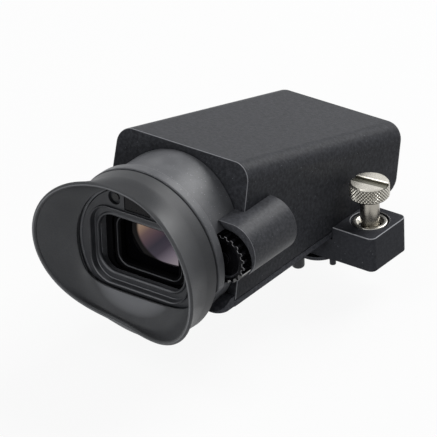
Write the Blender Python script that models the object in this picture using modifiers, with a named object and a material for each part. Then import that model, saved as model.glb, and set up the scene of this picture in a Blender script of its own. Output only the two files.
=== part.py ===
"""Electronic viewfinder: a wedge-shaped housing with a round eyepiece, an oval eyecup, a dioptre dial
and a clamp arm with a captive thumbscrew.

Right is +X, forward (away from the eye) is +Y, up is +Z. The origin lies on the arm's underside, where the
arm is clamped. Pieces of the eyepiece are modelled along their own axis, with local +Z towards the eye.
"""

import math

import bmesh
import bpy
from mathutils import Matrix, Vector

MM = 0.001

# Shared values
FIT = 0.3 * MM                 # gap between pieces that seat on each other
OVERRUN = 6.0 * MM             # how far a cut runs past the surface it opens
FUSE = 1.0 * MM                # how far a joined shape sinks into its carrier
MERGE = 0.00001                # points closer than this are one

# Housing: a box tilted by its pitch and cut off level at the floor
BODY_X = -33.5 * MM
BODY_REAR_Y = -61.8 * MM
BODY_TOP = 63.8 * MM
BODY_FLOOR = 10.2 * MM
BODY_WIDTH = 62.0 * MM
BODY_LENGTH = 106.6 * MM
BODY_DEPTH = 75.0 * MM
BODY_PITCH = math.radians(15.0)
DRAFT_SHARE = 0.03
WALL = 2.0 * MM
LONG_EDGE_R = 6.8 * MM
FRONT_EDGE_R = 3.0 * MM
REAR_EDGE_R = 0.7 * MM
TOE_R = 5.0 * MM
COVER_BAND = 2.6 * MM          # height of the bottom cover's edge

# Chin: the ramp that the bottom cover puts under the barrel
CHIN_LENGTH = 8.0 * MM         # how far it reaches behind the housing at the floor
CHIN_NOSE = 0.6 * MM
CHIN_HEIGHT = 4.3 * MM
CHIN_RUN = 6.0 * MM
CHIN_CORNER_R = 4.5 * MM

# Cover screws and their posts in the housing
POST_R = 3.2 * MM
POST_HEIGHT = 7.5 * MM
POST_SIDE = 27.6 * MM
POST_REAR_Y = -66.0 * MM
POST_FRONT_Y = 22.0 * MM
SCREW_R = 1.0 * MM
SCREW_HEAD_R = 1.9 * MM
SCREW_HEAD_H = 1.0 * MM
COVER_SCREW_LENGTH = 7.0 * MM

# Eyepiece axis and barrel; distances along the axis are counted from the origin towards the eye
EYE_Z = 29.7 * MM
BARREL_R = 31.7 * MM
BARREL_START = 52.0 * MM
BAND_END = 87.2 * MM
BAND_WIDTH = 4.2 * MM
BAND_STEP = 2.5 * MM           # how far the band stands out from the barrel
BAND_FLAT_CUT = 3.3 * MM       # how deep the band's lower flats are cut
BAND_FLAT_TURN = math.radians(36.6)
FLANGE_THICK = 1.7 * MM
NECK_STEP = 2.3 * MM           # how far the neck stands in from the barrel
NECK_LENGTH = 3.8 * MM
NECK_WALL = 1.5 * MM
NECK_BORE_DEPTH = 2.2 * MM
WELL_DEPTH = 2.6 * MM          # of the wider mouth of the cell's bore, behind the window
WELL_LEDGE = 2.9 * MM
WELL_LEDGE_LOW = 0.3 * MM
WELL_CORNER_R = 5.6 * MM
SPIGOT_END = 64.5 * MM
SPIGOT_WALL = 2.0 * MM
BARREL_SCREW_MARGIN = 5.0 * MM # from the lens cell's side to the screws that hold the barrel
BARREL_SCREW_RISES = (13.5 * MM, -10.5 * MM)
BARREL_SCREW_LENGTH = 7.0 * MM
BARREL_SCREW_SEAT = 1.3 * MM   # housing wall left under the screws' heads

# Lens cell and lenses
CELL_WIDTH = 33.0 * MM
CELL_HEIGHT = 24.4 * MM
CELL_CORNER_R = 5.0 * MM
CELL_WALL = 1.6 * MM
CELL_LIP = 1.5 * MM
CELL_LIP_LENGTH = 4.2 * MM
CELL_END = 85.4 * MM
CELL_LENGTH = 23.4 * MM
LENS_TRAVEL = 2.5 * MM         # how far the cell slides each way from rest
LENS_BLANK_R = 18.2 * MM       # radius of the round blanks that the lenses are trimmed from
EYE_LENS_R = 80.0 * MM
EYE_LENS_THICK = 6.4 * MM
FIELD_LENS_R = 90.0 * MM
FIELD_LENS_THICK = 4.6 * MM
SPACER_LENGTH = 5.6 * MM
FRAME_WALL = 1.0 * MM          # width of the spacer's and the retainer's sides

# Dioptre dial, its housing and its drive
DIAL_X = -3.0 * MM
DIAL_Z = 32.0 * MM
DIAL_R = 10.0 * MM
DIAL_RIB = 1.1 * MM
DIAL_RIBS = 20
DIAL_TOOTH_SHARES = (0.0, 0.4, 0.52, 0.88)   # where each rib's foot and crest start and end
DIAL_START = 73.9 * MM
DIAL_THICK = 5.7 * MM
DIAL_DISH_R = 7.4 * MM
DIAL_DISH_DEPTH = 0.9 * MM
GUARD_X = -0.7 * MM
GUARD_Z = 35.4 * MM
GUARD_R = 11.2 * MM
GUARD_END = 77.2 * MM
GUARD_LENGTH = 26.9 * MM
GUARD_RIM_R = 0.3 * MM
GUARD_LIP = 0.4 * MM           # flat that the mouth leaves inside the guard's rim
MOUTH_DEPTH = 0.9 * MM
RECESS_GAP = 1.2 * MM
RECESS_FLOOR = 72.7 * MM
RECESS_FLOOR_THICK = 4.0 * MM
POCKET_GAP = 0.8 * MM
POCKET_END = 82.6 * MM
DRIVE_SPACE_R = 6.0 * MM
DRIVE_SPACE_LENGTH = 11.0 * MM
SIDE_SLOT_R = 5.6 * MM
SHAFT_R = 2.0 * MM
LEAD_R = 2.5 * MM
LEAD_LENGTH = 9.9 * MM
BUSH_WALL = 1.1 * MM
BUSH_LENGTH = 3.7 * MM
WASHER_R = 6.6 * MM
WASHER_THICK = 0.5 * MM
DIAL_SCREW_R = 1.0 * MM
DIAL_SCREW_HEAD_R = 2.4 * MM
DIAL_SCREW_HEAD_H = 0.6 * MM
DIAL_SCREW_LENGTH = 3.0 * MM
NUT_R = 4.6 * MM
NUT_LENGTH = 3.0 * MM
NUT_ARM_HEIGHT = 4.0 * MM

# Eyepiece plate, its frame, sensor window and screws
PLATE_THICK = 2.4 * MM
RIDGE_WIDTH = 46.4 * MM
RIDGE_HEIGHT = 33.6 * MM
RIDGE_CORNER_R = 9.5 * MM
RIDGE_PROUD = 1.0 * MM
RIDGE_CREST = 1.0 * MM
RIDGE_RISE = 0.6 * MM          # of the frame's middle over the eyepiece's axis
GROOVE_FLOOR = 0.8 * MM        # plate left under the sunk inner frame
BEAD_RISE = 0.7 * MM           # of the inner frame over the groove's floor
BEAD_WIDTH = 1.2 * MM
WINDOW_WIDTH = 39.8 * MM
WINDOW_HEIGHT = 24.6 * MM
WINDOW_CORNER_R = 7.2 * MM
SENSOR_WIDTH = 11.8 * MM
SENSOR_HEIGHT = 5.6 * MM
SENSOR_THICK = 0.8 * MM
SENSOR_RISE = 20.9 * MM
SENSOR_NOTCH_DEPTH = 1.3 * MM
SENSOR_LEDGE = 1.0 * MM
SENSOR_BOARD_THICK = 0.8 * MM
PLATE_SCREW_X = 10.75 * MM
PLATE_SCREW_RISE = 21.75 * MM
PLATE_SCREW_LENGTH = 3.6 * MM
PLATE_RECESS_R = 2.9 * MM
PLATE_RECESS_DEPTH = 1.6 * MM

# Eyecup and the ring that carries it; the cup's throat is round with a flat below the window's frame
RING_GAP = 0.4 * MM
RING_PLAY = 0.4 * MM           # between the ring and the neck that it turns on
RING_WALL = 1.6 * MM
RING_LENGTH = 4.7 * MM
RING_LIP = 1.1 * MM
RING_LIP_THICK = 1.0 * MM
CUP_SETBACK = 0.1 * MM
CUP_BASE_STEP = 0.4 * MM       # how far the cup's foot and waist stand in from the band
CUP_WAIST_STEP = 0.6 * MM
CUP_WAIST_RUN = 5.4 * MM
CUP_WALL = 2.0 * MM
CUP_RIM_AT = 103.8 * MM
THROAT_MARGIN = 1.0 * MM       # from the plate's edge to the throat
THROAT_FLAT_MARGIN = 1.2 * MM  # from the window's frame to the throat's flat
THROAT_EDGE = 0.8 * MM
THROAT_POWER = 8
RIM_FLARE = 1.2 * MM           # from the band's radius to the rim's mean radius
RIM_OVAL = 5.6 * MM            # how far the rim's half-width and half-height leave its mean radius
RIM_SADDLE = 3.9 * MM          # how far its sides stand out, and its top and bottom stand back
RIM_TURN = math.radians(-5.0)
RIM_LEAN_SHARE = 0.09
RIM_SIDE = -1.3 * MM
RIM_RISE = 1.4 * MM
CUP_SIDES = 48
CUP_RUN_SHARES = (0.3, 0.6, 0.85)
CUP_LIP_SHARES = (0.2, 0.8)
CUP_BOWL_SHARES = (0.25, 0.5, 0.75)

# Display, boards and ribbon
TUNNEL_WIDTH = 30.0 * MM
TUNNEL_HEIGHT = 21.0 * MM
TUNNEL_CORNER_R = 3.0 * MM
TUNNEL_WALL = 1.2 * MM
HOLDER_FACE = 45.8 * MM
HOLDER_THICK = 2.4 * MM
HOLDER_WIDTH = 36.0 * MM
HOLDER_TOP = 44.0 * MM
HOLDER_FOOT_LENGTH = 11.0 * MM
HOLDER_FOOT_THICK = 2.0 * MM
HOLDER_WINDOW_WIDTH = 17.0 * MM
HOLDER_WINDOW_HEIGHT = 10.0 * MM
HOLDER_SCREW_X = 14.0 * MM
HOLDER_SCREW_Y = -41.0 * MM
HOLDER_SCREW_LENGTH = 3.4 * MM
PANEL_WIDTH = 20.0 * MM
PANEL_HEIGHT = 13.0 * MM
PANEL_THICK = 1.6 * MM
DRIVER_WIDTH = 30.0 * MM
DRIVER_HEIGHT = 23.0 * MM
DRIVER_THICK = 1.2 * MM
SPREADER_HEIGHT = 16.0 * MM
SPREADER_THICK = 1.5 * MM
DISPLAY_SCREW_X = 12.6 * MM
DISPLAY_SCREW_RISE = 3.5 * MM
DISPLAY_SCREW_LENGTH = 6.4 * MM
BOARD_SIDE_GAP = 5.5 * MM      # from the housing's walls to the main board
BOARD_REAR_Y = -30.0 * MM
BOARD_FRONT_Y = 26.0 * MM
BOARD_THICK = 1.6 * MM
BOARD_POST_R = 2.2 * MM
BOARD_POST_HEIGHT = 6.5 * MM
BOARD_POST_INSET = 4.0 * MM
BOARD_SCREW_LENGTH = 5.0 * MM
CHIP_SIZES = ((15.0 * MM, 15.0 * MM, 1.8 * MM), (9.0 * MM, 12.0 * MM, 1.2 * MM),
              (7.0 * MM, 7.0 * MM, 1.0 * MM), (18.0 * MM, 4.0 * MM, 3.0 * MM))
CHIP_PLACE_SHARES = ((-0.1, -0.2), (0.25, 0.05), (-0.28, 0.15), (0.0, 0.4))
RIBBON_WIDTH = 12.0 * MM
RIBBON_THICK = 0.3 * MM
RIBBON_BEND_R = 2.2 * MM
RIBBON_RISE = 3.2 * MM
RIBBON_REACH = 4.0 * MM

# Front panel and cable socket; places are counted from the panel's centre on the housing's front face
SOCKET_PLATE_WIDTH = 34.0 * MM
SOCKET_PLATE_HEIGHT = 16.4 * MM
SOCKET_PLATE_THICK = 1.0 * MM
SOCKET_PLATE_R = 2.0 * MM
SOCKET_PLATE_DROP = 13.8 * MM
SOCKET_LEDGE = 2.9 * MM
SOCKET_LEDGE_LOW = 1.2 * MM
SOCKET_X = -7.0 * MM
SOCKET_R = 5.2 * MM
SOCKET_FLANGE_R = 6.4 * MM
SOCKET_FLANGE_THICK = 1.0 * MM
SOCKET_BORE_R = 4.2 * MM
SOCKET_LENGTH = 10.0 * MM
SOCKET_FLOOR = 2.0 * MM
PIN_R = 0.4 * MM
PIN_LENGTH = 2.0 * MM
PIN_CIRCLE_R = 2.3 * MM
PIN_COUNT = 6
PIN_DISC_THICK = 0.6 * MM
PANEL_SCREW_X = 15.5 * MM
PANEL_SCREW_LENGTH = 4.0 * MM
PANEL_BOSS_LENGTH = 4.0 * MM

# Small screws, used for the plate, the boards, the display and the panel
SMALL_SCREW_R = 0.8 * MM
SMALL_HEAD_R = 1.6 * MM
SMALL_HEAD_H = 0.7 * MM

# Arm: clamp block, tongue and what holds them
BLOCK_RIGHT = 18.0 * MM
ARM_WIDTH = 23.3 * MM
BLOCK_HEIGHT = 14.8 * MM
BLOCK_CORNER_R = 2.6 * MM
BLOCK_EDGE_R = 0.5 * MM
TONGUE_LEFT = -21.0 * MM
TONGUE_END_R = 8.0 * MM
PAD_R = 7.0 * MM
PAD_THICK = 0.4 * MM
BOLT_X = -12.5 * MM
BOLT_Y = -5.2 * MM
BOLT_R = 2.5 * MM
BOLT_HEAD_R = 8.6 * MM
BOLT_HEAD_H = 1.7 * MM
BOLT_SLOT_WIDTH = 1.6 * MM
BOLT_SLOT_DEPTH = 0.9 * MM
BOLT_STAND = 0.8 * MM
ARM_NUT_R = 5.0 * MM
ARM_NUT_H = 3.0 * MM
LOCATING_R = 1.3 * MM
LOCATING_X = -2.6 * MM
LOCATING_Y = 9.65 * MM
LOCATING_DEPTH = 4.0 * MM
LOCATING_STAND = 3.0 * MM
FOOT_X = -3.6 * MM
FOOT_Y = -31.0 * MM
FOOT_R = 2.5 * MM
FOOT_STAND = 4.6 * MM
FOOT_PEG_R = 1.2 * MM
FOOT_PEG_RISE = 1.5 * MM

# Captive thumbscrew, its clip and the steel ring in the block
THUMB_X = 8.0 * MM
THUMB_Y = 1.0 * MM
THUMB_LIFT = 10.7 * MM
HEAD_R = 8.0 * MM
HEAD_H = 6.5 * MM
HEAD_CHAMFER = 0.8 * MM
SLOT_WIDTH = 4.4 * MM
SLOT_DEPTH = 1.1 * MM
SLOT_TURN = math.radians(6.2)
SHANK_R = 3.85 * MM
THREAD_R = 3.0 * MM
TIP_GAP = 0.6 * MM
TIP_CHAMFER = 0.6 * MM
CLIP_R = 5.2 * MM
CLIP_THICK = 0.5 * MM
CLIP_GROOVE_R = 2.5 * MM
EYELET_R = 6.95 * MM
EYELET_BORE_R = 4.25 * MM
EYELET_DEPTH = 1.9 * MM
EYELET_SINK = 0.3 * MM         # how far the ring stands below the block's top
EYELET_MOAT = 0.75 * MM        # width of the counterbore that shows round the ring
EYELET_MOAT_DEPTH = 0.9 * MM
EYELET_CONE = 1.2 * MM
SCREW_SPACE_R = 5.8 * MM
LEDGE = 1.5 * MM
LEDGE_HOLE_R = 3.4 * MM

# Places worked out from the sizes above
SEAM = BODY_FLOOR + COVER_BAND
COVER_TOP = SEAM - FIT
SLOPE = math.tan(BODY_PITCH)
CHIN_REACH = (BODY_TOP - BODY_FLOOR) * SLOPE - BODY_REAR_Y + CHIN_LENGTH
BAND_R = BARREL_R + BAND_STEP
NECK_R = BARREL_R - NECK_STEP
NECK_BORE_R = NECK_R - NECK_WALL
PLATE_R = NECK_BORE_R - FIT
RING_INNER_R = NECK_R + RING_PLAY
RING_OUTER_R = RING_INNER_R + RING_WALL
BARREL_SCREW_X = CELL_WIDTH / 2 + BARREL_SCREW_MARGIN
BOARD_WIDTH = BODY_WIDTH - 2 * (WALL + BOARD_SIDE_GAP)
RECESS_R = DIAL_R + RECESS_GAP
NECK_END = BAND_END + NECK_LENGTH
NECK_FLOOR = NECK_END - NECK_BORE_DEPTH
FLANGE_FRONT = BAND_END - FLANGE_THICK
PLATE_FRONT = NECK_FLOOR + FIT
PLATE_BACK = PLATE_FRONT + PLATE_THICK
CELL_START = CELL_END - CELL_LENGTH
TUNNEL_END = CELL_START - LENS_TRAVEL - 2 * FIT
BOARD_LOW = COVER_TOP + BOARD_POST_HEIGHT + FIT
BOARD_TOP = BOARD_LOW + BOARD_THICK
DRIVER_FACE = HOLDER_FACE - PANEL_THICK - 2 * FIT - DRIVER_THICK
SPREADER_FACE = DRIVER_FACE - FIT - SPREADER_THICK
TONGUE_HEIGHT = BODY_FLOOR - PAD_THICK - 2 * FIT
EYELET_LOW = BLOCK_HEIGHT - EYELET_DEPTH
CLIP_TOP = EYELET_LOW - 2 * FIT
TO_EYE = (math.radians(90), 0, 0)
BODY_MATRIX = Matrix.Translation((BODY_X, BODY_REAR_Y, BODY_TOP)) @ Matrix.Rotation(-BODY_PITCH, 4, "X")

for leftover in list(bpy.data.objects):
    bpy.data.objects.remove(leftover)

parts = bpy.data.collections.new("electronic_viewfinder")
cutters = bpy.data.collections.new("cutters")
bpy.context.scene.collection.children.link(parts)
bpy.context.scene.collection.children.link(cutters)


def look(name, colour, roughness, metallic=0.0):
    """A plain Principled material."""
    made = bpy.data.materials.new(name)
    made.use_nodes = True
    shader = made.node_tree.nodes["Principled BSDF"]
    shader.inputs["Base Color"].default_value = (*colour, 1.0)
    shader.inputs["Roughness"].default_value = roughness
    shader.inputs["Metallic"].default_value = metallic
    return made


painted = look("painted_magnesium", (0.035, 0.036, 0.039), 0.55)
moulded = look("black_moulding", (0.02, 0.02, 0.022), 0.5)
rubber = look("eyecup_rubber", (0.022, 0.022, 0.024), 0.75)
nickel = look("nickel_plate", (0.62, 0.58, 0.52), 0.3, 1.0)
steel = look("plain_steel", (0.45, 0.45, 0.46), 0.35, 1.0)
lens_glass = look("lens_glass", (0.3, 0.25, 0.3), 0.05)
dark_glass = look("dark_window", (0.02, 0.01, 0.02), 0.1)
board_green = look("circuit_board", (0.03, 0.16, 0.07), 0.5)
bronze = look("bearing_bronze", (0.5, 0.34, 0.14), 0.35, 1.0)
sheet_metal = look("aluminium_sheet", (0.6, 0.6, 0.62), 0.4, 1.0)


def frame(name, at, turn=(0, 0, 0), carrier=None):
    """An empty that carries pieces on an axis."""
    empty = bpy.data.objects.new(name, None)
    empty.location = at
    empty.rotation_euler = turn
    empty.parent = carrier
    parts.objects.link(empty)
    return empty


def put(name, shape, finish=None, carrier=None):
    """Make a bmesh a piece of the viewfinder, or a cutter where it has no finish."""
    mesh = bpy.data.meshes.new(name)
    bmesh.ops.recalc_face_normals(shape, faces=shape.faces)
    shape.to_mesh(mesh)
    shape.free()
    made = bpy.data.objects.new(name, mesh)
    made.parent = carrier
    if finish:
        parts.objects.link(made)
        mesh.materials.append(finish)
        mesh.shade_smooth()
        mesh.set_sharp_from_angle(angle=math.radians(35))
    else:
        cutters.objects.link(made)
        made.hide_render = True
        made.display_type = "WIRE"
    return made


def turned(name, profile, steps, finish=None, carrier=None, ring=False, at=(0, 0, 0)):
    """A profile of (radius, height) pairs, from top to bottom on its outside, turned about local Z."""
    shape = bmesh.new()
    corners = [shape.verts.new((radius, 0, height)) for radius, height in profile]
    for first, second in zip(corners, corners[1:]):
        shape.edges.new((first, second))
    if ring:
        shape.edges.new((corners[-1], corners[0]))
    made = put(name, shape, finish, carrier)
    made.location = at
    turn = made.modifiers.new("turn", "SCREW")
    turn.axis = "Z"
    turn.steps = steps
    turn.render_steps = steps
    turn.use_merge_vertices = True
    turn.merge_threshold = MERGE
    return made


def boolean(target, operation, tools):
    for tool in tools:
        step = target.modifiers.new(tool.name, "BOOLEAN")
        step.object = tool
        step.operation = operation
        step.solver = "EXACT"


def cut(target, *tools):
    boolean(target, "DIFFERENCE", tools)


def join(target, *tools):
    boolean(target, "UNION", tools)


def keep(target, *tools):
    boolean(target, "INTERSECT", tools)


def bevel(shape, edges, radius, steps):
    bmesh.ops.bevel(shape, geom=edges, offset=radius, segments=steps, profile=0.5, affect="EDGES")


def block(low, high, radius=0.0, steps=3, sides=(-1, 1)):
    """A box from corner to corner; radius rounds its upright edges on the sides named, left or right."""
    shape = bmesh.new()
    low, high = Vector(low), Vector(high)
    middle = (low + high) / 2
    corners = bmesh.ops.create_cube(shape, size=1.0)["verts"]
    bmesh.ops.scale(shape, vec=high - low, verts=corners)
    bmesh.ops.translate(shape, vec=middle, verts=corners)
    if radius:
        upright = [edge for edge in shape.edges if abs(edge.verts[0].co.z - edge.verts[1].co.z) > MERGE
                   and math.copysign(1, edge.verts[0].co.x - middle.x) in sides]
        bevel(shape, upright, radius, steps)
    return shape


def bar(width, height, low, high, radius, steps=4):
    """A bar along local Z with a rounded oblong section centred on its axis."""
    return block((-width / 2, -height / 2, low), (width / 2, height / 2, high), radius, steps)


def rods(places, radius, low, high, sides=12):
    """Round rods along local Z."""
    shape = bmesh.new()
    for x, y in places:
        bmesh.ops.create_cone(shape, cap_ends=True, segments=sides, radius1=radius, radius2=radius,
                              depth=high - low, matrix=Matrix.Translation((x, y, (low + high) / 2)))
    return shape


def screws(name, places, head_radius, head_height, radius, seat, length, up=1, carrier=None):
    """Equal screws with flat heads on a seat; up is the way that the heads face."""
    profile = [(0, seat + up * head_height), (head_radius, seat + up * head_height), (head_radius, seat),
               (radius, seat), (radius, seat - up * length), (0, seat - up * length)]
    for number, (x, y) in enumerate(places, 1):
        turned(f"{name}_{number}", profile[::up], 12, steel, carrier, at=(x, y, 0))


def prism(outline, low, high):
    """An outline of (y, z) points carried across from low to high in X."""
    shape = bmesh.new()
    face = shape.faces.new([shape.verts.new((low, y, z)) for y, z in outline])
    carried = bmesh.ops.extrude_face_region(shape, geom=[face])["geom"]
    corners = [item for item in carried if isinstance(item, bmesh.types.BMVert)]
    bmesh.ops.translate(shape, vec=(high - low, 0, 0), verts=corners)
    return shape


def gather(shapes):
    """Several bmeshes as one."""
    whole = bmesh.new()
    for shape in shapes:
        mesh = bpy.data.meshes.new("gathered")
        shape.to_mesh(mesh)
        shape.free()
        whole.from_mesh(mesh)
        bpy.data.meshes.remove(mesh)
    return whole


def arc(centre, radius, start, end, steps):
    """Points on an arc, both ends included."""
    turns = [start + (end - start) * step / steps for step in range(steps + 1)]
    return [(centre[0] + radius * math.cos(turn), centre[1] + radius * math.sin(turn)) for turn in turns]


def pairs(x, *rises):
    return [(side * x, rise) for side in (-1, 1) for rise in rises]


def level_cut(shape, height, above):
    """Keep what lies above or below a level in world space, and close the cut."""
    bmesh.ops.bisect_plane(shape, geom=shape.verts[:] + shape.edges[:] + shape.faces[:], dist=MERGE,
                           plane_co=(0, 0, height), plane_no=(0, 0, 1), clear_inner=above,
                           clear_outer=not above)
    bmesh.ops.holes_fill(shape, edges=[edge for edge in shape.edges if edge.is_boundary], sides=0)


def sharp_edges(shape):
    return [edge for edge in shape.edges if edge.calc_face_angle(0) > math.radians(40)]


def housing_form(inset=0.0, floor=BODY_FLOOR):
    """The housing's outer form, moved inwards by an inset, with a level floor."""
    shape = block((-BODY_WIDTH / 2, inset, -BODY_DEPTH), (BODY_WIDTH / 2, BODY_LENGTH - inset, -inset))
    for vert in shape.verts:
        half = BODY_WIDTH / 2 - inset - DRAFT_SHARE * vert.co.z
        vert.co.x = math.copysign(half, vert.co.x)
    bmesh.ops.transform(shape, matrix=BODY_MATRIX, verts=shape.verts)
    level_cut(shape, floor, above=True)
    bmesh.ops.transform(shape, matrix=BODY_MATRIX.inverted(), verts=shape.verts)
    rear, front, top = inset, BODY_LENGTH - inset, -inset
    along = [edge for edge in shape.edges if all(abs(vert.co.z - top) < MERGE for vert in edge.verts)
             and abs(edge.verts[0].co.y - edge.verts[1].co.y) > BODY_LENGTH / 2]
    bevel(shape, along, LONG_EDGE_R - inset, 5)
    toe = [edge for edge in sharp_edges(shape) if all(abs(vert.co.y - front) < MERGE for vert in edge.verts)
           and edge.calc_length() > BODY_WIDTH / 2 and edge.verts[0].co.z < top - WALL]
    bevel(shape, toe, TOE_R - inset, 3)
    ahead = [edge for edge in sharp_edges(shape) if min(vert.co.y for vert in edge.verts) > BODY_LENGTH / 2]
    bevel(shape, ahead, FRONT_EDGE_R - inset, 2)
    if REAR_EDGE_R > inset:
        behind = [edge for edge in sharp_edges(shape)
                  if all(abs(vert.co.y - rear) < MERGE for vert in edge.verts)
                  and max(vert.co.z for vert in edge.verts) > -BODY_DEPTH / 2]
        bevel(shape, behind, REAR_EDGE_R - inset, 2)
    bmesh.ops.transform(shape, matrix=BODY_MATRIX, verts=shape.verts)
    return shape


def rear_y(height, setback=0.0):
    """Y of the housing's leaning rear face at a height; setback moves into the housing."""
    return BODY_REAR_Y - (BODY_TOP - height) * SLOPE + setback / math.cos(BODY_PITCH)


def half_width(y, height):
    """Half of the housing's width at a place on its side."""
    drop = (BODY_TOP - SLOPE * (y - BODY_REAR_Y) - height) * math.cos(BODY_PITCH)
    return BODY_WIDTH / 2 + DRAFT_SHARE * drop


def chin_form(grow=0.0):
    """The ramp under the barrel; grown for the pieces that it cuts."""
    low, top = BODY_FLOOR - grow, BODY_FLOOR + CHIN_HEIGHT + grow
    half = half_width(BODY_REAR_Y, BODY_FLOOR) + grow - FIT
    outline = [(-CHIN_REACH - grow, low), (-CHIN_REACH - grow, BODY_FLOOR + CHIN_NOSE + grow),
               (-CHIN_REACH + CHIN_RUN - grow, top), (rear_y(top, -FIT), top),
               (rear_y(COVER_TOP, -FIT), COVER_TOP), (rear_y(COVER_TOP, FUSE), COVER_TOP),
               (rear_y(COVER_TOP, FUSE), low)]
    return prism(outline, BODY_X - half, BODY_X + half)


eyepiece_axis = frame("eyepiece_axis", (BODY_X, 0, EYE_Z), TO_EYE)
window_axis = frame("window_axis", (BODY_X, 0, EYE_Z + RIDGE_RISE), TO_EYE)
dial_axis = frame("dial_axis", (DIAL_X, 0, DIAL_Z), TO_EYE)
thumb_axis = frame("thumb_axis", (THUMB_X, THUMB_Y, 0))
body_axis = frame("body_axis", (BODY_X, BODY_REAR_Y, BODY_TOP), (-BODY_PITCH, 0, 0))
socket_axis = frame("socket_axis", (0, BODY_LENGTH, -SOCKET_PLATE_DROP), (math.radians(-90), 0, 0), body_axis)
guard_centre = (GUARD_X - DIAL_X, GUARD_Z - DIAL_Z)

# Cutters that several pieces share
housing_clear = put("housing_clear", housing_form(-FIT, BODY_FLOOR - FIT))
chin_clear = put("chin_clear", chin_form(FIT))
cell_outline = (CELL_WIDTH, CELL_HEIGHT)
bore_outline = (CELL_WIDTH + 2 * FIT, CELL_HEIGHT + 2 * FIT)
spigot_outline = (bore_outline[0] + 2 * SPIGOT_WALL, bore_outline[1] + 2 * SPIGOT_WALL)
lens_outline = (CELL_WIDTH - 2 * (CELL_WALL + FIT), CELL_HEIGHT - 2 * (CELL_WALL + FIT))
post_places = [(BODY_X + side * POST_SIDE, y) for side in (-1, 1) for y in (POST_REAR_Y, POST_FRONT_Y)]
barrel_screw_seats = [rear_y(EYE_Z + rise) for rise in BARREL_SCREW_RISES]
panel_screw_places = pairs(PANEL_SCREW_X, 0)


def make_body_shell():
    form = housing_form()
    level_cut(form, SEAM, above=True)
    shell = put("body_shell", form, painted)
    cavity = put("shell_cavity", housing_form(WALL))
    posts = put("shell_posts", rods(post_places, POST_R, SEAM, SEAM + POST_HEIGHT))
    post_bores = put("shell_post_bores", rods(post_places, SCREW_R + FIT, SEAM - OVERRUN,
                                              SEAM + POST_HEIGHT - FUSE))
    spigot_hole = put("shell_spigot_hole", bar(spigot_outline[0] + 2 * FIT, spigot_outline[1] + 2 * FIT,
                                               SPIGOT_END, POCKET_END, CELL_CORNER_R + SPIGOT_WALL),
                      carrier=eyepiece_axis)
    dial_notch = put("shell_dial_notch", rods([(0, 0)], DIAL_R + POCKET_GAP,
                                              RECESS_FLOOR - RECESS_FLOOR_THICK - WALL, POCKET_END, 32),
                     carrier=dial_axis)
    drive_slot = put("shell_drive_slot", rods([(0, 0)], SIDE_SLOT_R, RECESS_FLOOR - RECESS_FLOOR_THICK
                                              - DRIVE_SPACE_LENGTH + FIT, POCKET_END, 24), carrier=dial_axis)
    cut(shell, cavity)
    join(shell, posts)
    cut(shell, post_bores, spigot_hole, dial_notch, drive_slot)
    for number, (rise, seat) in enumerate(zip(BARREL_SCREW_RISES, barrel_screw_seats)):
        holes = rods(pairs(BARREL_SCREW_X, rise), SCREW_R + FIT, -seat - OVERRUN, -seat + OVERRUN)
        seats = rods(pairs(BARREL_SCREW_X, rise), SCREW_HEAD_R + FIT, -seat - BARREL_SCREW_SEAT - OVERRUN,
                     -seat - BARREL_SCREW_SEAT)
        cut(shell, put(f"shell_screw_holes_{number}", holes, carrier=eyepiece_axis),
            put(f"shell_screw_seats_{number}", seats, carrier=eyepiece_axis))
    bosses = put("shell_panel_bosses", rods(panel_screw_places, SMALL_HEAD_R + FIT, -PANEL_BOSS_LENGTH - FUSE,
                                            -WALL + FUSE / 2), carrier=socket_axis)
    panel_seat = put("shell_panel_seat", bar(SOCKET_PLATE_WIDTH + 2 * FIT, SOCKET_PLATE_HEIGHT + 2 * FIT,
                                             -SOCKET_PLATE_THICK - FIT, OVERRUN, SOCKET_PLATE_R + FIT),
                     carrier=socket_axis)
    opening = put("shell_panel_opening", bar(SOCKET_PLATE_WIDTH - 2 * SOCKET_LEDGE - 2 * SMALL_HEAD_R,
                                             SOCKET_PLATE_HEIGHT - 2 * SOCKET_LEDGE_LOW,
                                             -PANEL_BOSS_LENGTH - OVERRUN, OVERRUN, SOCKET_PLATE_R),
                  carrier=socket_axis)
    boss_bores = put("shell_panel_bores", rods(panel_screw_places, SMALL_SCREW_R + FIT, -PANEL_BOSS_LENGTH
                                               - FUSE / 2, OVERRUN), carrier=socket_axis)
    join(shell, bosses)
    cut(shell, panel_seat, opening, boss_bores)


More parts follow.
